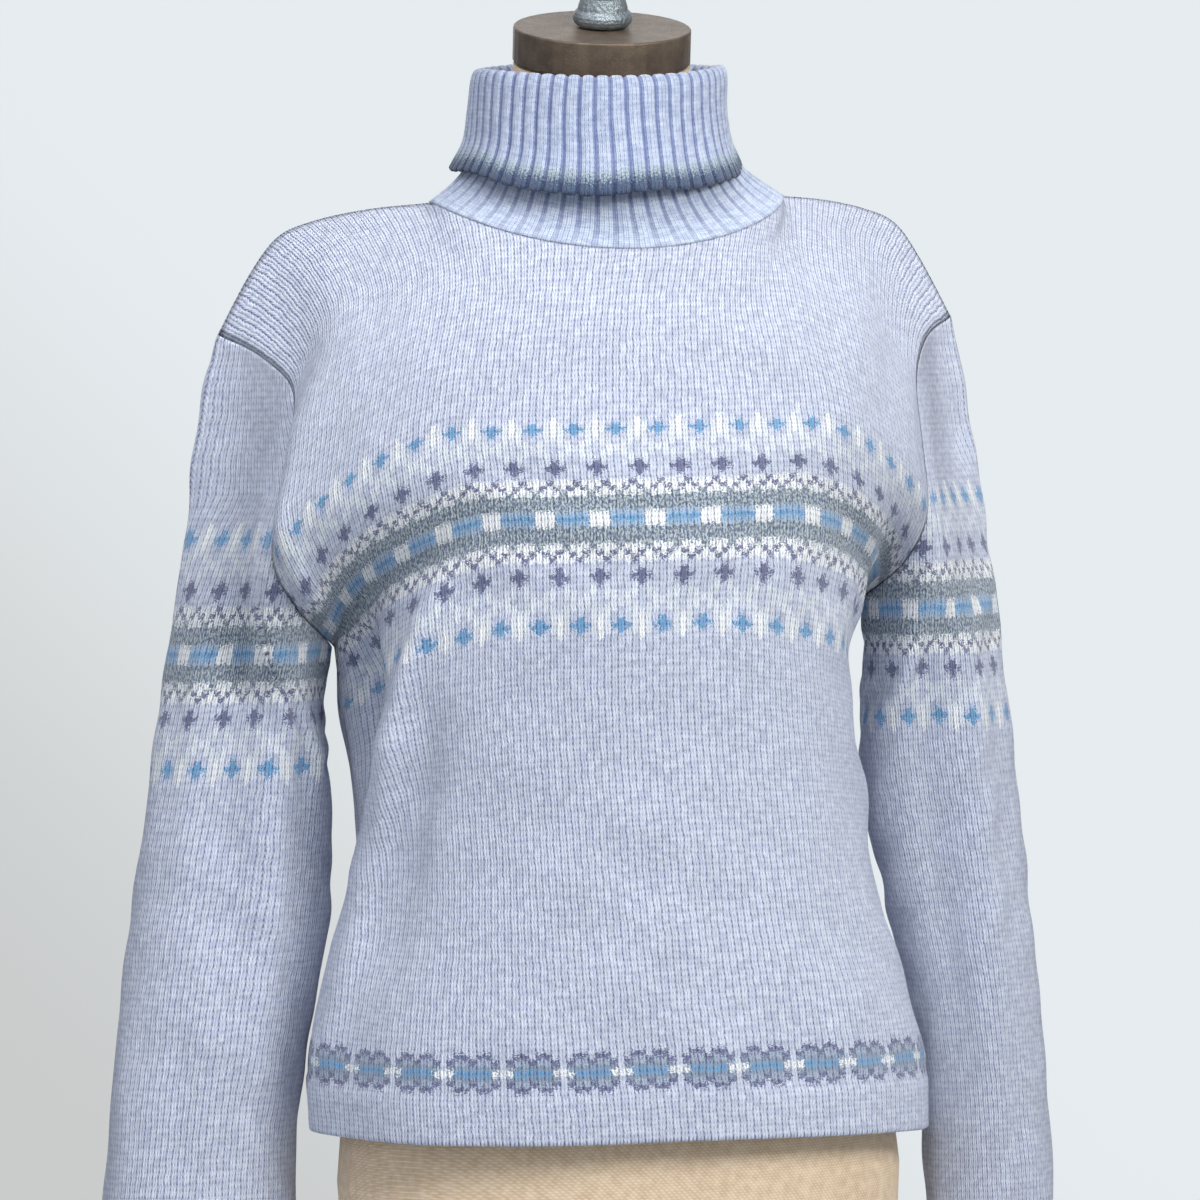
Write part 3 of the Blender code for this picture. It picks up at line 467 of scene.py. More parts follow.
SLEEVE_CREASES = {
    LEFT: folds(
        (7, (128, 0.1, 0), (124, 0.24, -3), (126, 0.4, -2.5), (130, 0.52, 0)),
        (9, (50, 0.045, 0), (69, 0.058, -4), (88, 0.06, -4.5), (100, 0.05, 0)),
        (10, (101, 0.12, 0), (101, 0.2, -3.5), (100, 0.3, -4), (100, 0.4, -3), (101, 0.5, 0)),
        (9, (86, 0.34, 0), (88, 0.44, -2), (91, 0.52, -3.5), (96, 0.62, -3), (100, 0.76, 0)),
        (9, (102, 0.46, 0), (105, 0.54, 2.5), (110, 0.64, 3), (113, 0.8, 0)),
        (9, (40, 0.14, 0), (44, 0.34, 3), (52, 0.56, 2.5), (60, 0.7, 0)),
        (8, (150, 0.18, 0), (140, 0.3, 3), (126, 0.46, 0)),
        (9, (96, 0.6, 0), (84, 0.74, 3), (80, 0.9, 0)),
        (8, (60, 0.66, 0), (70, 0.8, -2.5), (72, 0.92, 0)),
        (10, (230, 0.16, 0), (222, 0.4, 3.5), (228, 0.66, 0)),
        (10, (300, 0.22, 0), (306, 0.46, -3), (300, 0.7, 0)),
    ),
    RIGHT: folds(
        (8, (92, 0.06, 0), (92, 0.2, 3), (94, 0.36, 0)),
        (8, (134, 0.1, 0), (128, 0.24, 3), (120, 0.38, 0)),
        (9, (46, 0.3, 0), (50, 0.52, -2.8), (60, 0.74, 0)),
        (9, (96, 0.54, 0), (100, 0.7, 2.8), (104, 0.88, 0)),
        (8, (74, 0.72, 0), (70, 0.84, -2.5), (72, 0.96, 0)),
        (10, (232, 0.18, 0), (226, 0.42, 3.2), (232, 0.66, 0)),
        (10, (304, 0.24, 0), (300, 0.44, -3), (306, 0.68, 0)),
    ),
}

# Small shapes in the cloth, in metres.
UNEVEN = 0.0006  # the slack of knitted cloth between its folds
HEM_PROUD, CUFF_PROUD = 0.0012, 0.0010  # how far the doubled edges stand out
EDGE_GROOVE = 0.0005  # along the row that catches such an edge down
PANEL_GROOVE, SLEEVE_GROOVE = 0.0003, 0.0002  # along the seams, also the collar's
GROOVE_WIDTH = 0.0030
ARM_SEAM_HEIGHT, ARM_SEAM_WIDTH = 0.0011, 0.002
CUFF_FOLD, CUFF_END = 0.957, 0.9985  # down a sleeve, where its edge is caught down, and its end

# How finely the cloth is drawn.
PANEL_STEPS, SLEEVE_SIDES, SLEEVE_STEPS, COLLAR_STEPS, PLACES_PER_RIB = 136, 140, 128, 66, 12

# The knitting. Stitches are counted across from a blue spot and rows up from the waist.
ROW_HEIGHT = 0.00325  # one row of stitches on the chest
BAND_COURSE, BAND_ROW = 89, 89  # the middle of the chest band, on the panels and in rows
BAND_EDGE = 71  # the course at the chest band's lower edge
HEM_COURSE, HEM_ROW = 10, -8  # the middle of the hem band
SLEEVE_BANDS = {LEFT: (1.094, 0.00372), RIGHT: (1.108, 0.00362)}  # its height, and one row's
SLEEVE_STITCHES = 89  # all round a sleeve
HEM_FOLD = 7.2  # the course where the hem's turned-up edge is caught down
RIB_COUNT, RIB_WALES = 54, 4  # three knit wales and a purl one in each rib
RIB_DEPTH = 0.0017
RIB_ROW = 0.00195  # one row of stitches on the collar


def smooth(low, high, at):
    """0 below low and 1 above high, with an easy rise between them."""
    share = np.clip((at - low) / (high - low), 0, 1)
    return share * share * (3 - 2 * share)


def hump(at, width):
    """1 at the middle of a soft hump, falling away to either side."""
    return np.exp(-((at / width) ** 2))


def unevenness(first, second, size, seed):
    """Soft random unevenness of about 1, with humps of that size, from crossed waves."""
    random = np.random.default_rng(seed)
    total = np.zeros(np.broadcast(first, second).shape)
    for _ in range(14):
        turn, phase = random.uniform(0, math.tau, 2)
        pace = math.tau / (size * random.uniform(0.7, 1.9))
        total += np.sin((first * math.cos(turn) + second * math.sin(turn)) * pace + phase)
    return total / math.sqrt(7)


def shell(name, layers, stitches, ring, material):
    """A closed wall of cloth between two grids, with each corner's stitch and row as its UV."""
    height, width = layers[0].shape[:2]
    spans = width if ring else width - 1
    rows, columns = np.meshgrid(np.arange(height - 1), np.arange(spans), indexing="ij")
    rows, columns = rows.ravel(), columns.ravel()
    across = np.arange(spans)
    first, last = np.zeros(spans, int), np.full(spans, height - 1)

    def quads(*corners):
        return np.stack([np.stack(np.broadcast_arrays(*corner), -1) for corner in corners], 1)

    below, beside, after = rows + 1, columns + 1, across + 1
    faces = [
        quads((0, rows, columns), (0, rows, beside), (0, below, beside), (0, below, columns)),
        quads((1, rows, columns), (1, below, columns), (1, below, beside), (1, rows, beside)),
        quads((0, first, across), (1, first, across), (1, first, after), (0, first, after)),
        quads((0, last, across), (0, last, after), (1, last, after), (1, last, across)),
    ]
    if not ring:
        up = np.arange(height - 1)
        for column, low, high in ((0, up, up + 1), (width - 1, up + 1, up)):
            at = np.full(height - 1, column)
            faces.append(quads((0, low, at), (0, high, at), (1, high, at), (1, low, at)))
    corners = np.concatenate(faces).reshape(-1, 3)
    places = np.concatenate([layer.reshape(-1, 3) for layer in layers])
    indices = (corners[:, 0] * height + corners[:, 1]) * width + corners[:, 2] % width
    outward = np.cross(
        layers[0][1:, 1:] - layers[0][:-1, :-1], layers[0][1:, :-1] - layers[0][:-1, 1:]
    ).reshape(-1, 3)
    outside = (layers[0][:-1, :-1] - layers[1][:-1, :-1]).reshape(-1, 3)
    uv = stitches[corners[:, 1], corners[:, 2]]
    if (outward * outside).sum() < 0:
        indices = indices.reshape(-1, 4)[:, ::-1].ravel()
        uv = uv.reshape(-1, 4, 2)[:, ::-1].reshape(-1, 2)
    mesh = bpy.data.meshes.new(name)
    mesh.from_pydata(places.tolist(), [], indices.reshape(-1, 4).tolist())
    mesh.uv_layers.new(name="Stitches").data.foreach_set("uv", uv.ravel())
    mesh.shade_smooth()
    mesh.materials.append(material)
    piece = bpy.data.objects.new(name, mesh)
    scene.collection.objects.link(piece)
    return piece


def turned_edge(points_at, outward, down, curl, thickness):
    """The two sides of a wall whose edge is rounded: curl is 0 on the flat, 90 at the tip."""
    half = thickness / 2
    bend = half * (1 - np.cos(np.radians(curl)))
    beyond = down * (half * np.sin(np.radians(curl)))
    return points_at - outward * bend + beyond, points_at - outward * (2 * half - bend) + beyond


EDGE_CURL = np.array([84.0, 64.0, 42.0, 20.0])  # the rows that round a free edge, from its tip


def make_panel(name, face, material):
    """The front or the back: its folds, creases, doubled hem and stitches."""
    u = np.linspace(-1, 1, 2 * HALF_STITCHES + 1)
    course = np.concatenate([np.zeros(len(EDGE_CURL)), np.linspace(0, TOP, PANEL_STEPS)])[:, None]
    curl = np.concatenate([EDGE_CURL, np.zeros(PANEL_STEPS)])[:, None, None]
    surface = panel_surface(face)
    u, course = np.broadcast_arrays(u, course)
    outward = directions(surface, u, course, 0.004, 0.4) * -face
    near_edge = np.minimum(course, TOP - 2)
    down = surface(u, near_edge) - surface(u, near_edge + 1)
    down /= np.linalg.norm(down, axis=-1, keepdims=True)
    x, y = u * U_SIZE, course * COURSE_SIZE
    calm = smooth(0, 6, TOP - course) * smooth(0, 0.05, 1 - np.abs(u))
    lift = fold_lift(PANEL_CREASES[face], u, course, (U_SIZE, COURSE_SIZE))
    slack = UNEVEN * unevenness(x, y, 0.045, 3 + face) * smooth(0, 12, course)
    lift = (lift + slack) * calm
    hem = HEM_PROUD * (1 - smooth(HEM_FOLD - 0.8, HEM_FOLD + 0.8, course))
    hem -= EDGE_GROOVE * hump(course - HEM_FOLD, 0.7)
    lift = lift + hem
    to_side = (1 - np.abs(u)) * U_SIZE
    to_top = (TOP - course) * COURSE_SIZE
    groove = PANEL_GROOVE * (hump(to_side, GROOVE_WIDTH) + hump(to_top, GROOVE_WIDTH))
    outer_place = surface(u, course) + outward * (lift - groove)[..., None]
    thickness = (WALL + hem)[..., None]
    outer, _ = turned_edge(outer_place, outward, down, curl, thickness)
    held_u = u * (1 - RIM / U_SIZE)
    held_course = course - RIM / COURSE_SIZE * smooth(TOP - 14, TOP, course)
    inner_place = surface(held_u, held_course) + outward * lift[..., None]
    _, inner = turned_edge(inner_place, outward, down, curl, thickness)
    return shell(name, (outer, inner), panel_stitches(u, course, outer), False, material)


def panel_stitches(u, course, places):
    """The stitch and the row at each point of a panel."""
    below = BAND_EDGE - (BAND_EDGE - course) * (BAND_EDGE - HEM_ROW) / (BAND_EDGE - HEM_COURSE)
    row = np.where(course < BAND_EDGE, below, course)
    upper = 2 * BAND_COURSE - BAND_EDGE
    steps = np.linalg.norm(np.diff(places, axis=0, prepend=places[:1]), axis=-1) / ROW_HEIGHT
    climbed = np.cumsum(np.where(course > upper, steps, 0), axis=0)
    row = np.where(course > upper, upper + climbed, row)
    return points(u * HALF_STITCHES, row + 0.875, 0)[..., :2]


def round_sleeve(hand, places):
    """How many stitches each place on a sleeve is from its outer line, at its own height."""
    down = np.linspace(0, 1, 60)
    ring = read_all(SLEEVE_RINGS[hand], down)
    heights = (ring.outer_z + ring.inner_z)[::-1] / 2
    x, middle_x, half, middle_y, front, back = (
        places[..., 0],
        *(np.interp(places[..., 2], heights, line[::-1]) for line in (
            (ring.outer_x + ring.inner_x) / 2, (ring.outer_x - ring.inner_x) / 2,
            ring.y, ring.front, ring.back,
        )),
    )
    ahead = middle_y - places[..., 1]
    depth = np.where(ahead > 0, front, back)
    angle = np.unwrap(np.arctan2(ahead / depth, (x - middle_x) / half), axis=-1)
    middle = angle.shape[-1] // 2
    angle = angle - math.tau * np.round(angle[:, middle : middle + 1] / math.tau)
    return angle / math.tau * SLEEVE_STITCHES


def make_sleeve(name, hand, material):
    """A sleeve: folds, creases, the underarm seam and a doubled cuff edge."""
    degrees = -180 + 360 * np.arange(SLEEVE_SIDES + 1) / SLEEVE_SIDES
    down = np.linspace(0, 1, SLEEVE_STEPS) ** 1.1
    down = np.concatenate([down, np.ones(len(EDGE_CURL))])[:, None]
    curl = np.concatenate([np.zeros(SLEEVE_STEPS), EDGE_CURL[::-1]])[:, None, None]
    surface = sleeve_surface(hand)
    turn, place = np.broadcast_arrays(degrees, np.clip(down, 0, CUFF_END))
    outward = directions(surface, turn, place, 0.6, 0.002) * hand
    lower = np.maximum(place, 0.005)
    along = surface(turn, lower) - surface(turn, lower - 0.004)
    along /= np.linalg.norm(along, axis=-1, keepdims=True)
    lift = fold_lift(SLEEVE_CREASES[hand], turn % 360, place, (DEGREE_SIZE, DOWN_SIZE))
    around = np.sin(np.radians(turn)) * 0.05, place * DOWN_SIZE + np.cos(np.radians(turn)) * 0.03
    lift = (lift + UNEVEN * unevenness(*around, 0.04, 11 + hand)) * smooth(0, 0.05, place)
    cuff = CUFF_PROUD * smooth(0.955, 0.965, place)
    lift = lift + cuff - EDGE_GROOVE * hump(place - CUFF_FOLD, 0.004)
    seam = ARM_SEAM_HEIGHT * hump((180 - np.abs(turn)) * DEGREE_SIZE, ARM_SEAM_WIDTH)
    seam = seam + SLEEVE_GROOVE * hump(place * DOWN_SIZE, GROOVE_WIDTH)
    rise = lift_direction(hand, outward, turn)
    outer_place = surface(turn, place) + rise * lift[..., None] - outward * seam[..., None]
    thickness = (WALL + cuff)[..., None]
    outer, _ = turned_edge(outer_place, outward, along, curl, thickness)
    held = place + RIM / DOWN_SIZE * (1 - smooth(0, 0.1, place))
    inner_place = surface(turn, held) + rise * lift[..., None]
    _, inner = turned_edge(inner_place, outward, along, curl, thickness)
    height, row_height = SLEEVE_BANDS[hand]
    plain = sleeve_points(hand, turn % 360, place)
    stitch = round_sleeve(hand, plain)
    row = BAND_ROW + 0.875 + (plain[..., 2] - height) / row_height
    stitches = points(stitch, row, 0)[..., :2]
    return shell(name, (outer[:, :-1], inner[:, :-1]), stitches, True, material)


def make_collar(name, material):
    """The collar, whose ribs are raised in the cloth: up the neck, over the fold and down."""
    places_round = RIB_COUNT * PLACES_PER_RIB
    degrees = 360 * np.arange(places_round) / places_round
    step = np.concatenate([np.linspace(0, 10, COLLAR_STEPS), np.full(len(EDGE_CURL), 10)])[:, None]
    curl = np.concatenate([np.zeros(COLLAR_STEPS), EDGE_CURL[::-1]])[:, None, None]
    first = 0.0001 / COLLAR_STEP_SIZE
    turn, place = np.broadcast_arrays(degrees, np.clip(step, first, 9.97))
    bend = np.radians(turn)
    sway = 1.1 * np.sin(bend * 2 + 0.7) * smooth(5, 9, place) + 0.5 * np.sin(bend * 5 + place * 0.8)
    outward = directions(collar_points, turn, place, 0.5, 0.02)
    along = collar_points(turn, place) - collar_points(turn, place - 0.05)
    along /= np.linalg.norm(along, axis=-1, keepdims=True)
    fall = smooth(6.2, 10, place)
    flare = 0.0012 * np.sin(bend * 3 + 1.0) + 0.0009 * np.sin(bend * 7 + 2.0)
    base = collar_points(turn + sway, place) - outward * (flare * fall)[..., None]
    base[..., 2] += 0.0012 * np.sin(bend * 4 + 0.5) * fall + 0.0006 * np.sin(bend * 9) * fall
    rib = turn / 360 * RIB_COUNT
    random = np.random.default_rng(21)
    depth = random.uniform(0.75, 1.2, RIB_COUNT)[np.floor(rib + 0.5).astype(int) % RIB_COUNT]
    from_purl = np.abs(rib - np.floor(rib + 0.5))
    crown = (1 - hump(from_purl, 0.12)) * (0.88 + 0.12 * np.cos(math.tau * (from_purl - 0.5)))
    strength = 0.08 + 0.47 * smooth(0.3, 1.6, place) + 0.45 * smooth(4, 7, place)
    relief = (crown - 1) * (RIB_DEPTH * depth * strength)
    proud = 0.0005 + WALL / 2 * np.clip(place / 2, 0, 1)
    seam = SLEEVE_GROOVE * hump(place * COLLAR_STEP_SIZE, GROOVE_WIDTH)
    front = base + outward * (proud + relief - seam)[..., None]
    back = base - outward * (WALL - proud + relief)[..., None]
    middle = (front + back) / 2
    half = (front - back) / 2
    tip = along * (np.linalg.norm(half, axis=-1, keepdims=True) * np.sin(np.radians(curl)))
    outer, inner = (middle + side * half * np.cos(np.radians(curl)) + tip for side in (1, -1))
    rows_up = (10 - np.broadcast_to(step, turn.shape)) * COLLAR_STEP_SIZE / RIB_ROW
    stitch = np.concatenate([rib, np.full_like(rib[:, :1], RIB_COUNT)], axis=1) * RIB_WALES
    rows_up = np.concatenate([rows_up, rows_up[:, :1]], axis=1)
    return shell(name, (outer, inner), points(stitch, rows_up, 0)[..., :2], True, material)


def linear(code):
    """A colour from its sRGB hex code, as linear values."""
    parts = [int(code[i : i + 2], 16) / 255 for i in (1, 3, 5)]
    return (*(p / 12.92 if p <= 0.04045 else ((p + 0.055) / 1.055) ** 2.4 for p in parts), 1.0)


def add(tree, kind, *inputs, **settings):
    """Adds a shader node, with its settings, and its inputs' values or what is linked to them.

    The kind may be followed by its operation. The inputs are given in order, or in a dictionary
    by name or number. A node that is linked gives its first output in use.
    """
    kind, *operation = kind.split()
    node = tree.nodes.new("ShaderNode" + kind)
    if kind == "Mix":
        node.data_type = "RGBA"
    if operation:
        node.operation = operation[0]
    for key, value in settings.items():
        setattr(node, key, value)
    named = inputs and isinstance(inputs[0], dict)
    for key, value in (inputs[0].items() if named else enumerate(inputs)):
        if isinstance(value, bpy.types.Node):
            value = next(output for output in value.outputs if output.enabled)
        if isinstance(value, bpy.types.NodeSocket):
            tree.links.new(value, node.inputs[key])
        else:
            node.inputs[key].default_value = value
    return node


def material(name):
    """A new material without nodes, and what adds nodes to it."""
    made = bpy.data.materials.new(name)
    made.use_nodes = True
    made.node_tree.nodes.clear()
    return made, partial(add, made.node_tree)


FLAT = {"noise_dimensions": "2D"}  # for noise that is read across the cloth
EASED = {"interpolation_type": "SMOOTHSTEP"}


def ramp(put, factor, stops, interpolation="CONSTANT"):
    """A colour ramp whose stops are places and colours."""
    node = put("ValToRGB", factor)
    node.color_ramp.interpolation = interpolation
    band = node.color_ramp.elements
    for count, (place, colour) in enumerate(stops):
        stop = band[count] if count < len(band) else band.new(place)
        stop.position, stop.color = place, colour
    while len(band) > len(stops):
        band.remove(band[-1])
    return node


# The yarns, in the order of their marks in the charts below. The first is the ground.
YARNS = ".WBDGgPLMw"
YARN_COLOURS = {
    "W": "#F6F9FB",  # natural white
    "B": "#68A0CE",  # sky blue
    "D": "#666B90",  # slate navy
    "G": "#B2BFC2",  # the pale part of the grey-green marl
    "g": "#69768F",  # its dark part
    "P": "#A9B5CB",  # pale melange
    "M": "#8C9BB0",  # mid melange
    "L": "#A3BCD6",  # washed blue
    "w": "#E0E7F1",  # white worn thin
}
# Each chart has a row of marks for each row of stitches out from the band's middle. The marks
# run across from the middle of a repeat to its edge, where the pattern turns back.
SPOT_CHART = {
    20: "...W", 19: "B.wW", 18: "BBwW", 17: "B.wW", 16: "..ww", 15: ".ww.", 14: "ww..",
    13: ".ww.", 12: "..w.", 11: "...D", 10: "..DD", 9: "...D", 8: "....",
}
EDGE_CHART = {7: "WWD", 6: "WDW", 5: "GWW", 4: "GGG", 3: "GGG", 2: "GGG", 1: "..."}
STRIP_CHART = {1: "WWLLL", 0: "WWBBB"}
HEM_CHART = {3: "..DD.", 2: ".DPPD", 1: ".MMMM", 0: "WWBBB"}
STRIP_SHIFT, HEM_SHIFT = -5, -4  # to the middle of a white block, in stitches


def chart(put, stitch, rows_out, marks, shift=0):
    """The yarn's number at each stitch of a chart, over the number of yarns, and 0 off it."""
    repeat = len(next(iter(marks.values())))
    across = put("Math PINGPONG", put("Math ADD", stitch, shift), repeat - 1)
    cell = put("Math MULTIPLY_ADD", rows_out, repeat, across)
    size = (max(marks) + 2) * repeat
    share = put("Math DIVIDE", put("Math ADD", cell, 0.5), size)
    line = "".join(marks.get(row, "." * repeat) for row in range(max(marks) + 1)) + "."
    stops, last = [], None
    for at, mark in enumerate(line):
        if mark != last:
            grey = YARNS.index(mark) / len(YARNS)
            stops.append((at / size, (grey, grey, grey, 1)))
        last = mark
    return ramp(put, share, stops)


def stitch_at(put, place, lean):
    """The stitch and the row at a place in the knitting, and where in the stitch it is."""
    at = put("SeparateXYZ", place)
    stitch = put("Math FLOOR", put("Math ADD", at.outputs[0], 0.5))
    out = put("Math ABSOLUTE", put("Math SUBTRACT", at.outputs[0], stitch))
    slant = put("Math MULTIPLY_ADD", out, -lean, at.outputs[1])
    return stitch, put("Math FLOOR", slant), out, slant


def stitches(put, lean, wander):
    """Where each point lies in the knitting: the stitch, the row and the yarn's height there.

    A stitch is a V of two legs, so its rows are read along a zigzag. The points wander a
    little, because no two stitches are alike, and the dyed yarn's loose hairs stray further.
    """
    uv = put("UVMap", uv_map="Stitches")
    loose = put("TexNoise", {"Vector": uv, "Scale": 0.42, "Detail": 2.0}, **FLAT)
    offset = put("VectorMath SUBTRACT", loose.outputs["Color"], (0.5, 0.5, 0.5))
    moved = put("VectorMath MULTIPLY_ADD", offset, (wander, wander * 1.6, 0), uv)
    stitch, row, out, slant = stitch_at(put, moved, lean)
    along = put("Math SUBTRACT", slant, row)
    off_leg = put("Math SUBTRACT", out, put("Math MULTIPLY_ADD", along, 0.14, 0.17))
    squared = put("Math MULTIPLY", off_leg, off_leg)
    edge = put("MapRange", off_leg, -0.1, 0.1, -10.0, -15.0)
    crown = put("Math MULTIPLY_ADD", squared, edge, 1.0, use_clamp=True)
    arch = put("Math SINE", put("Math MULTIPLY", along, math.pi))
    full = put("Math MAXIMUM", crown, put("MapRange", arch, 0.0, 0.75, 0.62, 0.0))
    height = put("Math MULTIPLY", full, put("Math MULTIPLY_ADD", arch, 0.14, 0.86))
    blur = put("TexNoise", {"Vector": uv, "Scale": 2.6, "Detail": 2.0, "Roughness": 0.7}, **FLAT)
    fluff = put("VectorMath SUBTRACT", blur.outputs["Color"], (0.5, 0.5, 0.5))
    strayed = put("VectorMath MULTIPLY_ADD", fluff, (1.5, 2.6, 0), moved)
    dyed_stitch, dyed_row, _, _ = stitch_at(put, strayed, lean)
    chance = put("TexWhiteNoise", {"Vector": put("CombineXYZ", stitch, row)}, **FLAT)
    return uv, dyed_stitch, dyed_row, height, chance


def heather(put, uv, pale, deep, stretch):
    """Carded yarn of two shades: short streaks along the rows, and single fibres."""
    scaled = put("VectorMath MULTIPLY", uv, stretch)
    streaks = put("TexNoise", {"Vector": scaled, "Scale": 1.0, "Detail": 3.0, "Roughness": 0.62},
                  **FLAT)
    sharper = put("MapRange", streaks, 0.34, 0.66, **EASED)
    return put("Mix", {0: sharper, 6: linear(deep), 7: linear(pale)})


def wool(put, colour, height, uv, gap_shade, depth, fuzz):
    """Knitted wool: dull, with a pale bloom of loose fibres, painted shade between its stitches,
    and relief of that depth in mm.
    """
    fibres = put("TexNoise", {"Vector": uv, "Scale": 5.0, "Detail": 4.0, "Roughness": 0.7},
                 **FLAT)
    flecks = put("MapRange", fibres, 0.25, 0.75, 0.84, 1.16)
    flecked = put("VectorMath SCALE", {0: colour, "Scale": flecks})
    # Painted shade: where the yarn sinks between the legs and rows of the stitches, the colour is
    # multiplied towards the gap_shade colour.
    full = put("MapRange", height, 0.02, 0.62, **EASED)
    shaded = put("Mix", {0: 1.0, 6: flecked, 7: linear(gap_shade)}, blend_type="MULTIPLY")
    seen = put("Mix", {0: full, 6: shaded, 7: flecked})
    relief = put("Math MULTIPLY_ADD", height, depth, put("Math MULTIPLY_ADD", fibres, fuzz, 0.0))
    bump = put("Bump", {"Strength": 1.0, "Distance": 0.001, "Height": relief})
    put("OutputMaterial", {"Surface": put("BsdfPrincipled", {
        "Base Color": seen, "Roughness": 0.92, "Specular IOR Level": 0.22,
        "Sheen Weight": 0.30, "Sheen Roughness": 0.45, "Sheen Tint": linear("#F2F5FF"),
        "Normal": bump,
    })})


def make_knit(name, with_hem):
    """Heathered lambswool in stocking stitch, knitted by machine, with Fair Isle bands."""
    made, put = material(name)
    uv, stitch, row, height, chance = stitches(put, 1.4, 0.42)
    ground = heather(put, uv, "#D3DAEB", "#C0C8DF", (0.55, 0.80, 1))
    rows_out = put("Math ABSOLUTE", put("Math SUBTRACT", row, BAND_ROW))
    layers = [
        chart(put, stitch, rows_out, SPOT_CHART),
        chart(put, stitch, rows_out, EDGE_CHART),
        chart(put, stitch, rows_out, STRIP_CHART, STRIP_SHIFT),
    ]
    if with_hem:
        hem_out = put("Math ABSOLUTE", put("Math SUBTRACT", row, HEM_ROW))
        layers.append(chart(put, stitch, hem_out, HEM_CHART, HEM_SHIFT))
    total = layers[0]
    for layer in layers[1:]:
        total = put("Math ADD", total, layer)
    number = put("Math MULTIPLY", total, len(YARNS))
    marl = put("Math COMPARE", number, float(YARNS.index("G")), 0.4)
    twist = put("VectorMath MULTIPLY", uv, (3.4, 1.5, 1))
    strands = put("TexNoise", {"Vector": twist, "Scale": 1.0, "Detail": 2.0}, **FLAT)
    swap = put("Math MULTIPLY", marl, put("Math LESS_THAN", strands, 0.5))
    place = put("Math ADD", put("Math ADD", number, swap), 0.5)
    share = put("Math DIVIDE", place, len(YARNS))
    stops = [(0.0, (0, 0, 0, 0))]
    stops += sorted(
        (YARNS.index(mark) / len(YARNS), linear(code)) for mark, code in YARN_COLOURS.items()
    )
    yarn = ramp(put, share, stops)
    dyed = put("Mix", {0: put("Math MULTIPLY", yarn.outputs["Alpha"], 0.93), 6: ground, 7: yarn})
    level = put("MapRange", chance, 0.0, 1.0, 0.93, 1.07)
    varied = put("Mix", {0: 1.0, 6: dyed, 7: level}, blend_type="MULTIPLY")
    # 8F8DB8 is the painted shade between the stitches.
    wool(put, varied, height, uv, "#8F8DB8", 1.0, 0.30)
    return made


def make_rib(name):
    """The same wool in a finer rib, with the rim knitted in slate and a marled row above it,
    painted shade in its purl grooves and painted light on the lower neckband.
    """
    made, put = material(name)
    uv, _, row, height, _ = stitches(put, 1.5, 0.30)
    ground = heather(put, uv, "#C3CDE1", "#A9B5D1", (0.35, 0.55, 1))
    speckle = put("TexNoise", {"Vector": uv, "Scale": 2.2, "Detail": 3.0}, **FLAT)
    share = put("Math DIVIDE", put("Math MULTIPLY_ADD", speckle, 5.5, row), 11.0)
    edge = ramp(put, share, [
        (0.16, linear("#38465F")), (0.25, linear("#55657F")), (0.34, linear("#3E4C66")),
        (0.42, linear("#6C7C92")), (0.50, linear("#8F9FAA")),
        (0.60, (*linear("#AAB9C0")[:3], 0.75)),
        (0.72, (*linear("#BCC8D2")[:3], 0.0)),
    ], "LINEAR")
    banded = put("Mix", {0: edge.outputs["Alpha"], 6: ground, 7: edge})
    # Painted shade: the purl grooves are multiplied towards #A3ABCB, fading out near the neckline.
    # Painted light: the lower neckband, where the rib is stretched, is brightened by about a fifth.
    from_purl = put("Math PINGPONG", put("SeparateXYZ", uv), RIB_WALES / 2)
    purl = put("MapRange", from_purl, 0.20, 0.75, 1.0, 0.0)
    sunk = put("Math MULTIPLY", purl, put("MapRange", row, 56.0, 80.0, 1.0, 0.0))
    stretched = put("MapRange", row, 52.0, 70.0)
    painted_neckband_light = put("Mix", {0: stretched, 6: (1, 1, 1, 1), 7: (1.22, 1.22, 1.18, 1)})
    tone = put("Mix", {0: sunk, 6: painted_neckband_light, 7: linear("#A3ABCB")})
    toned = put("Mix", {0: 1.0, 6: banded, 7: tone},
                blend_type="MULTIPLY")
    # 9FA6C8 is the painted shade between the rib's stitches.
    wool(put, toned, height, uv, "#9FA6C8", 0.50, 0.22)
    return made


def make_metal(name, colour, worn, roughness, grain, depth, metallic):
    """Cast metal, brushed and handled: patchy tone, fine pits and a soft polish."""
    made, put = material(name)
    at = put("TexCoord").outputs["Object"]
    patches = put("TexNoise", {"Vector": at, "Scale": 70.0, "Detail": 5.0, "Roughness": 0.65})
    spread = put("MapRange", patches, 0.35, 0.68, **EASED)
    tint = put("Mix", {0: spread, 6: linear(colour), 7: linear(worn)})
    pits = put("TexNoise", {"Vector": at, "Scale": grain, "Detail": 3.0, "Roughness": 0.6})
    dull = put("MapRange", pits, 0.3, 0.7, roughness - 0.07, roughness + 0.10)
    bump = put("Bump", {"Strength": 1.0, "Distance": depth, "Height": pits})
    put("OutputMaterial", {"Surface": put("BsdfPrincipled", {
        "Base Color": tint, "Metallic": metallic, "Roughness": dull, "Normal": bump,
    })})
    return made


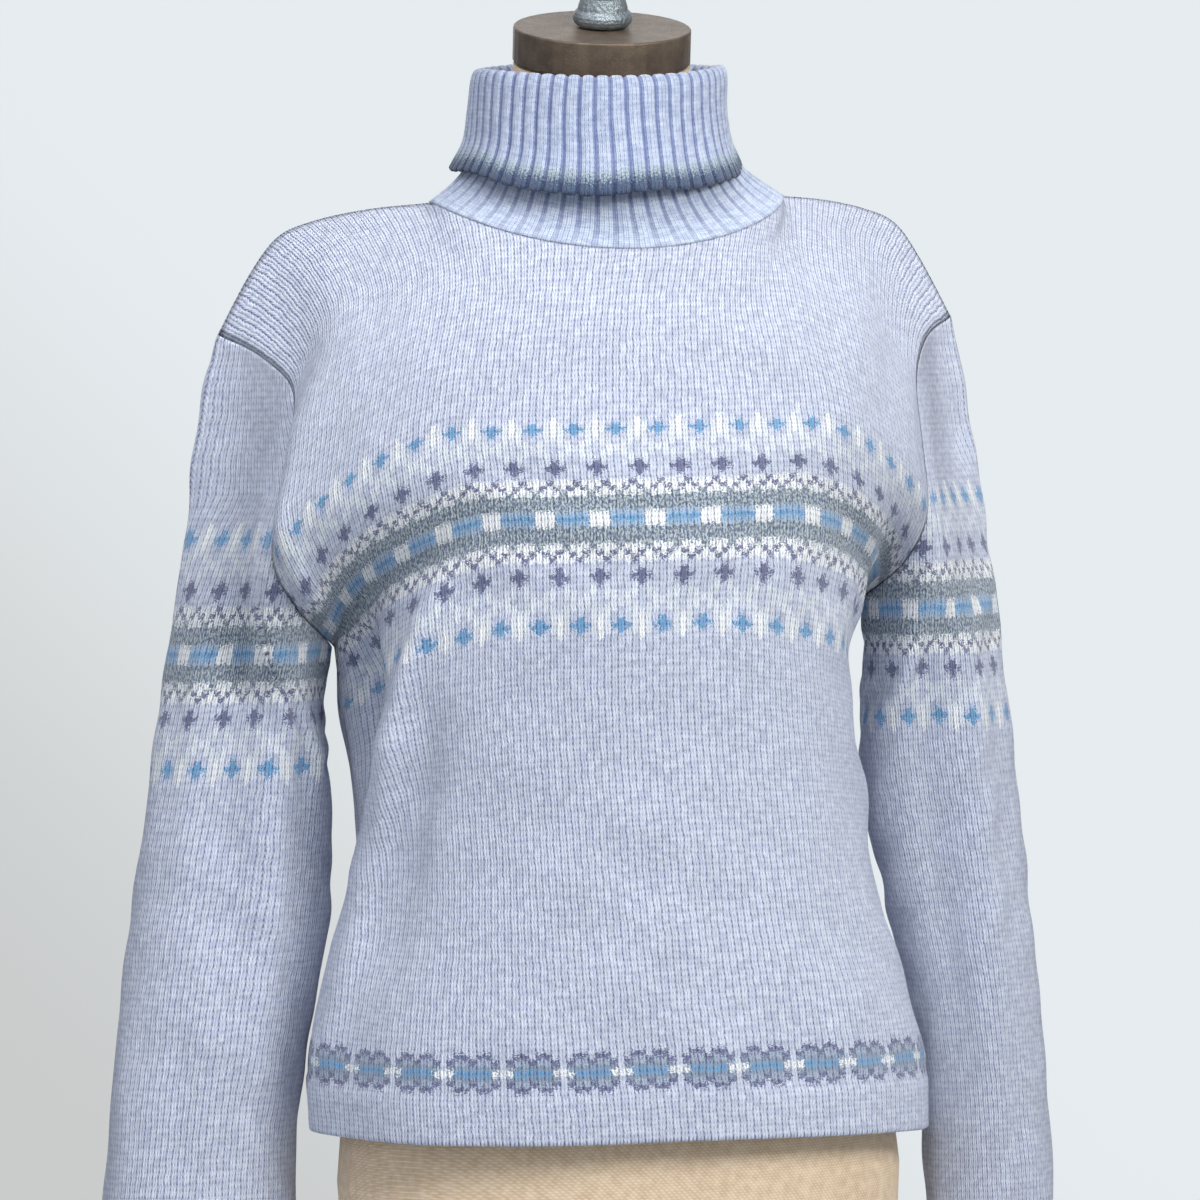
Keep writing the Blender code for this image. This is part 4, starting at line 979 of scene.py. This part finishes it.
def make_linen(name):
    """Plain-woven linen stretched over the form: slubby threads, drawn at twice their size."""
    made, put = material(name)
    at = put("TexCoord").outputs["Object"]
    thread = math.tau / 0.0016 / 20
    weft = put("TexWave", {"Vector": at, "Scale": thread, "Distortion": 1.2, "Detail": 2.0},
               bands_direction="Z")
    warp = put("TexWave", {"Vector": at, "Scale": thread, "Distortion": 1.2, "Detail": 2.0},
               bands_direction="DIAGONAL")
    weave = put("Math MULTIPLY", weft, warp)
    slubs = put("TexNoise", {"Vector": at, "Scale": 180.0, "Detail": 3.0})
    tone = put("Math MULTIPLY_ADD", weave, 0.5, slubs)
    share = put("MapRange", tone, 0.35, 1.0)
    colour = put("Mix", {0: share, 6: linear("#CDB294"), 7: linear("#E8D6BD")})
    bump = put("Bump", {"Strength": 0.6, "Distance": 0.0003, "Height": tone})
    put("OutputMaterial", {"Surface": put("BsdfPrincipled", {
        "Base Color": colour, "Roughness": 0.88, "Specular IOR Level": 0.25,
        "Sheen Weight": 0.12, "Sheen Roughness": 0.5, "Normal": bump,
    })})
    return made


def make_floor():
    """A plain pale floor, large enough that its edge stays far from the stand."""
    bpy.ops.object.select_all(action="DESELECT")
    bpy.ops.mesh.primitive_circle_add(
        vertices=128, radius=4.5, fill_type="NGON", location=(0, 0, -0.0005)
    )
    floor = bpy.context.object
    floor.name = "floor"
    made, put = material("matt_pale_paint")
    paint = put("BsdfPrincipled", {"Base Color": linear("#D3D7D9"), "Roughness": 0.9})
    put("OutputMaterial", {"Surface": paint})
    floor.data.materials.append(made)


def make_camera():
    """The camera stands level with the shoulders, a little to the sweater's right."""
    azimuth, elevation, roll = (math.radians(a) for a in (-12.0, 2.0, 1.5))
    target, distance = Vector((-0.002, 0.0, 1.118)), 4.0
    ahead = math.cos(elevation)
    back = Vector((math.sin(azimuth) * ahead, -math.cos(azimuth) * ahead, math.sin(elevation)))
    level = Vector((math.cos(azimuth), math.sin(azimuth), 0))
    upright = back.cross(level)
    right = level * math.cos(roll) - upright * math.sin(roll)
    up = level * math.sin(roll) + upright * math.cos(roll)
    data = bpy.data.cameras.new("camera")
    data.sensor_width, data.lens, data.clip_end = 36.0, 203.4, 60.0
    camera = bpy.data.objects.new("camera", data)
    place = target + back * distance
    camera.matrix_world = Matrix((
        (right.x, up.x, back.x, place.x), (right.y, up.y, back.y, place.y),
        (right.z, up.z, back.z, place.z), (0, 0, 0, 1),
    ))
    scene.collection.objects.link(camera)
    scene.camera = camera


Lamp = namedtuple("Lamp", "name place aim size power colour")
LAMPS = (
    Lamp("window", (1.0, -2.0, 2.35), (0.0, 0.0, 1.35), 0.9, 48.0, "#FFFDF8"),
    Lamp("bounce", (-2.6, -2.4, 2.1), (0.0, 0.0, 1.30), 1.8, 18.0, "#F4F7FF"),
    Lamp("ceiling", (-0.4, -1.0, 3.0), (0.0, 0.0, 1.3), 1.3, 30.0, "#FFFFFF"),
    Lamp("behind", (0.5, 3.2, 2.0), (0.0, 0.0, 1.1), 2.4, 34.0, "#FFFFFF"),
)


def make_light():
    """Soft studio light: large square lamps, and an even pale room."""
    for lamp in LAMPS:
        data = bpy.data.lights.new(lamp.name, "AREA")
        data.shape, data.size, data.energy = "SQUARE", lamp.size, lamp.power
        data.color = linear(lamp.colour)[:3]
        thing = bpy.data.objects.new(lamp.name, data)
        thing.location = lamp.place
        aim = Vector(lamp.aim) - Vector(lamp.place)
        thing.rotation_euler = aim.to_track_quat("-Z", "Y").to_euler()
        scene.collection.objects.link(thing)
    world = bpy.data.worlds.new("pale_room")
    scene.world = world
    world.use_nodes = True
    world.node_tree.nodes.clear()
    put = partial(add, world.node_tree)
    direction = put("TexCoord").outputs["Generated"]
    # The backdrop that the camera sees has painted shade: it darkens towards its lower left corner.
    low_corner = put("VectorMath DOT_PRODUCT", direction, (-0.68, 0.15, -0.70))
    shade = put("MapRange", low_corner, 0.03, 0.14,
                **EASED)
    backdrop = put("Mix", {0: shade, 6: linear("#E6ECEF"), 7: linear("#CACCCC")})
    seen = put("Background", {"Color": backdrop, "Strength": 1.0})
    up = put("SeparateXYZ", direction)
    raised = put("MapRange", up.outputs["Z"], -0.5, 0.6)
    walls = put("Mix", {0: raised, 6: linear("#8D95A2"), 7: linear("#F4F8FD")})
    room = put("Background", {"Color": walls, "Strength": 0.44})
    path = put("LightPath")
    mixed = put("MixShader", path.outputs["Is Camera Ray"], room, seen)
    put("OutputWorld", {"Surface": mixed})
    scene.view_settings.view_transform = "Standard"


make_camera()
make_light()
make_floor()

knit_body = make_knit("heathered_lambswool_stocking_stitch", True)
knit_sleeve = make_knit("heathered_lambswool_sleeve", False)
rib_wool = make_rib("heathered_lambswool_rib")
bronze = make_metal("oiled_bronze_turned", "#5A4D42", "#6F6153", 0.44, 900.0, 0.00030, 0.45)
zinc = make_metal("cast_zinc", "#7C868D", "#9AA3A8", 0.46, 420.0, 0.00110, 0.70)
iron = make_metal("cast_iron_satin_paint", "#4A4C4F", "#5A5C5F", 0.50, 420.0, 0.00020, 0.35)
linen = make_linen("plain_woven_linen")

finishes = {
    "neck_cap": bronze, "finial": zinc, "stand_base": iron, "stand_pole": zinc, "form_torso": linen,
}
for node_name, finish in finishes.items():
    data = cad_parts[node_name].data
    data.materials.clear()
    data.materials.append(finish)

Cloth = namedtuple("Cloth", "piece node slot flat area held rests_on")
front_panel = make_panel("front_panel", FRONT, knit_body)
back_panel = make_panel("back_panel", BACK, knit_body)
left_sleeve = make_sleeve("left_sleeve", RIGHT, knit_sleeve)
right_sleeve = make_sleeve("right_sleeve", LEFT, knit_sleeve)
rib_collar = make_collar("rib_collar", rib_wool)
form, panels = ["form_torso"], ["front_panel", "back_panel"]
cloths = (
    Cloth(front_panel, "sweater_front", "knit", (0.52, 0.60), 0.27, "draped", form),
    Cloth(back_panel, "sweater_back", "knit", (0.52, 0.60), 0.27, "draped", form),
    Cloth(left_sleeve, "sleeve_left", "knit", (0.31, 0.57), 0.135, "hung", panels),
    Cloth(right_sleeve, "sleeve_right", "knit", (0.31, 0.57), 0.135, "hung", panels),
    Cloth(rib_collar, "sweater_collar", "rib", (0.53, 0.165), 0.085, "folded", panels),
)
for cloth in cloths:
    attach(cloth.piece, "root")
    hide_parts(cloth.node)
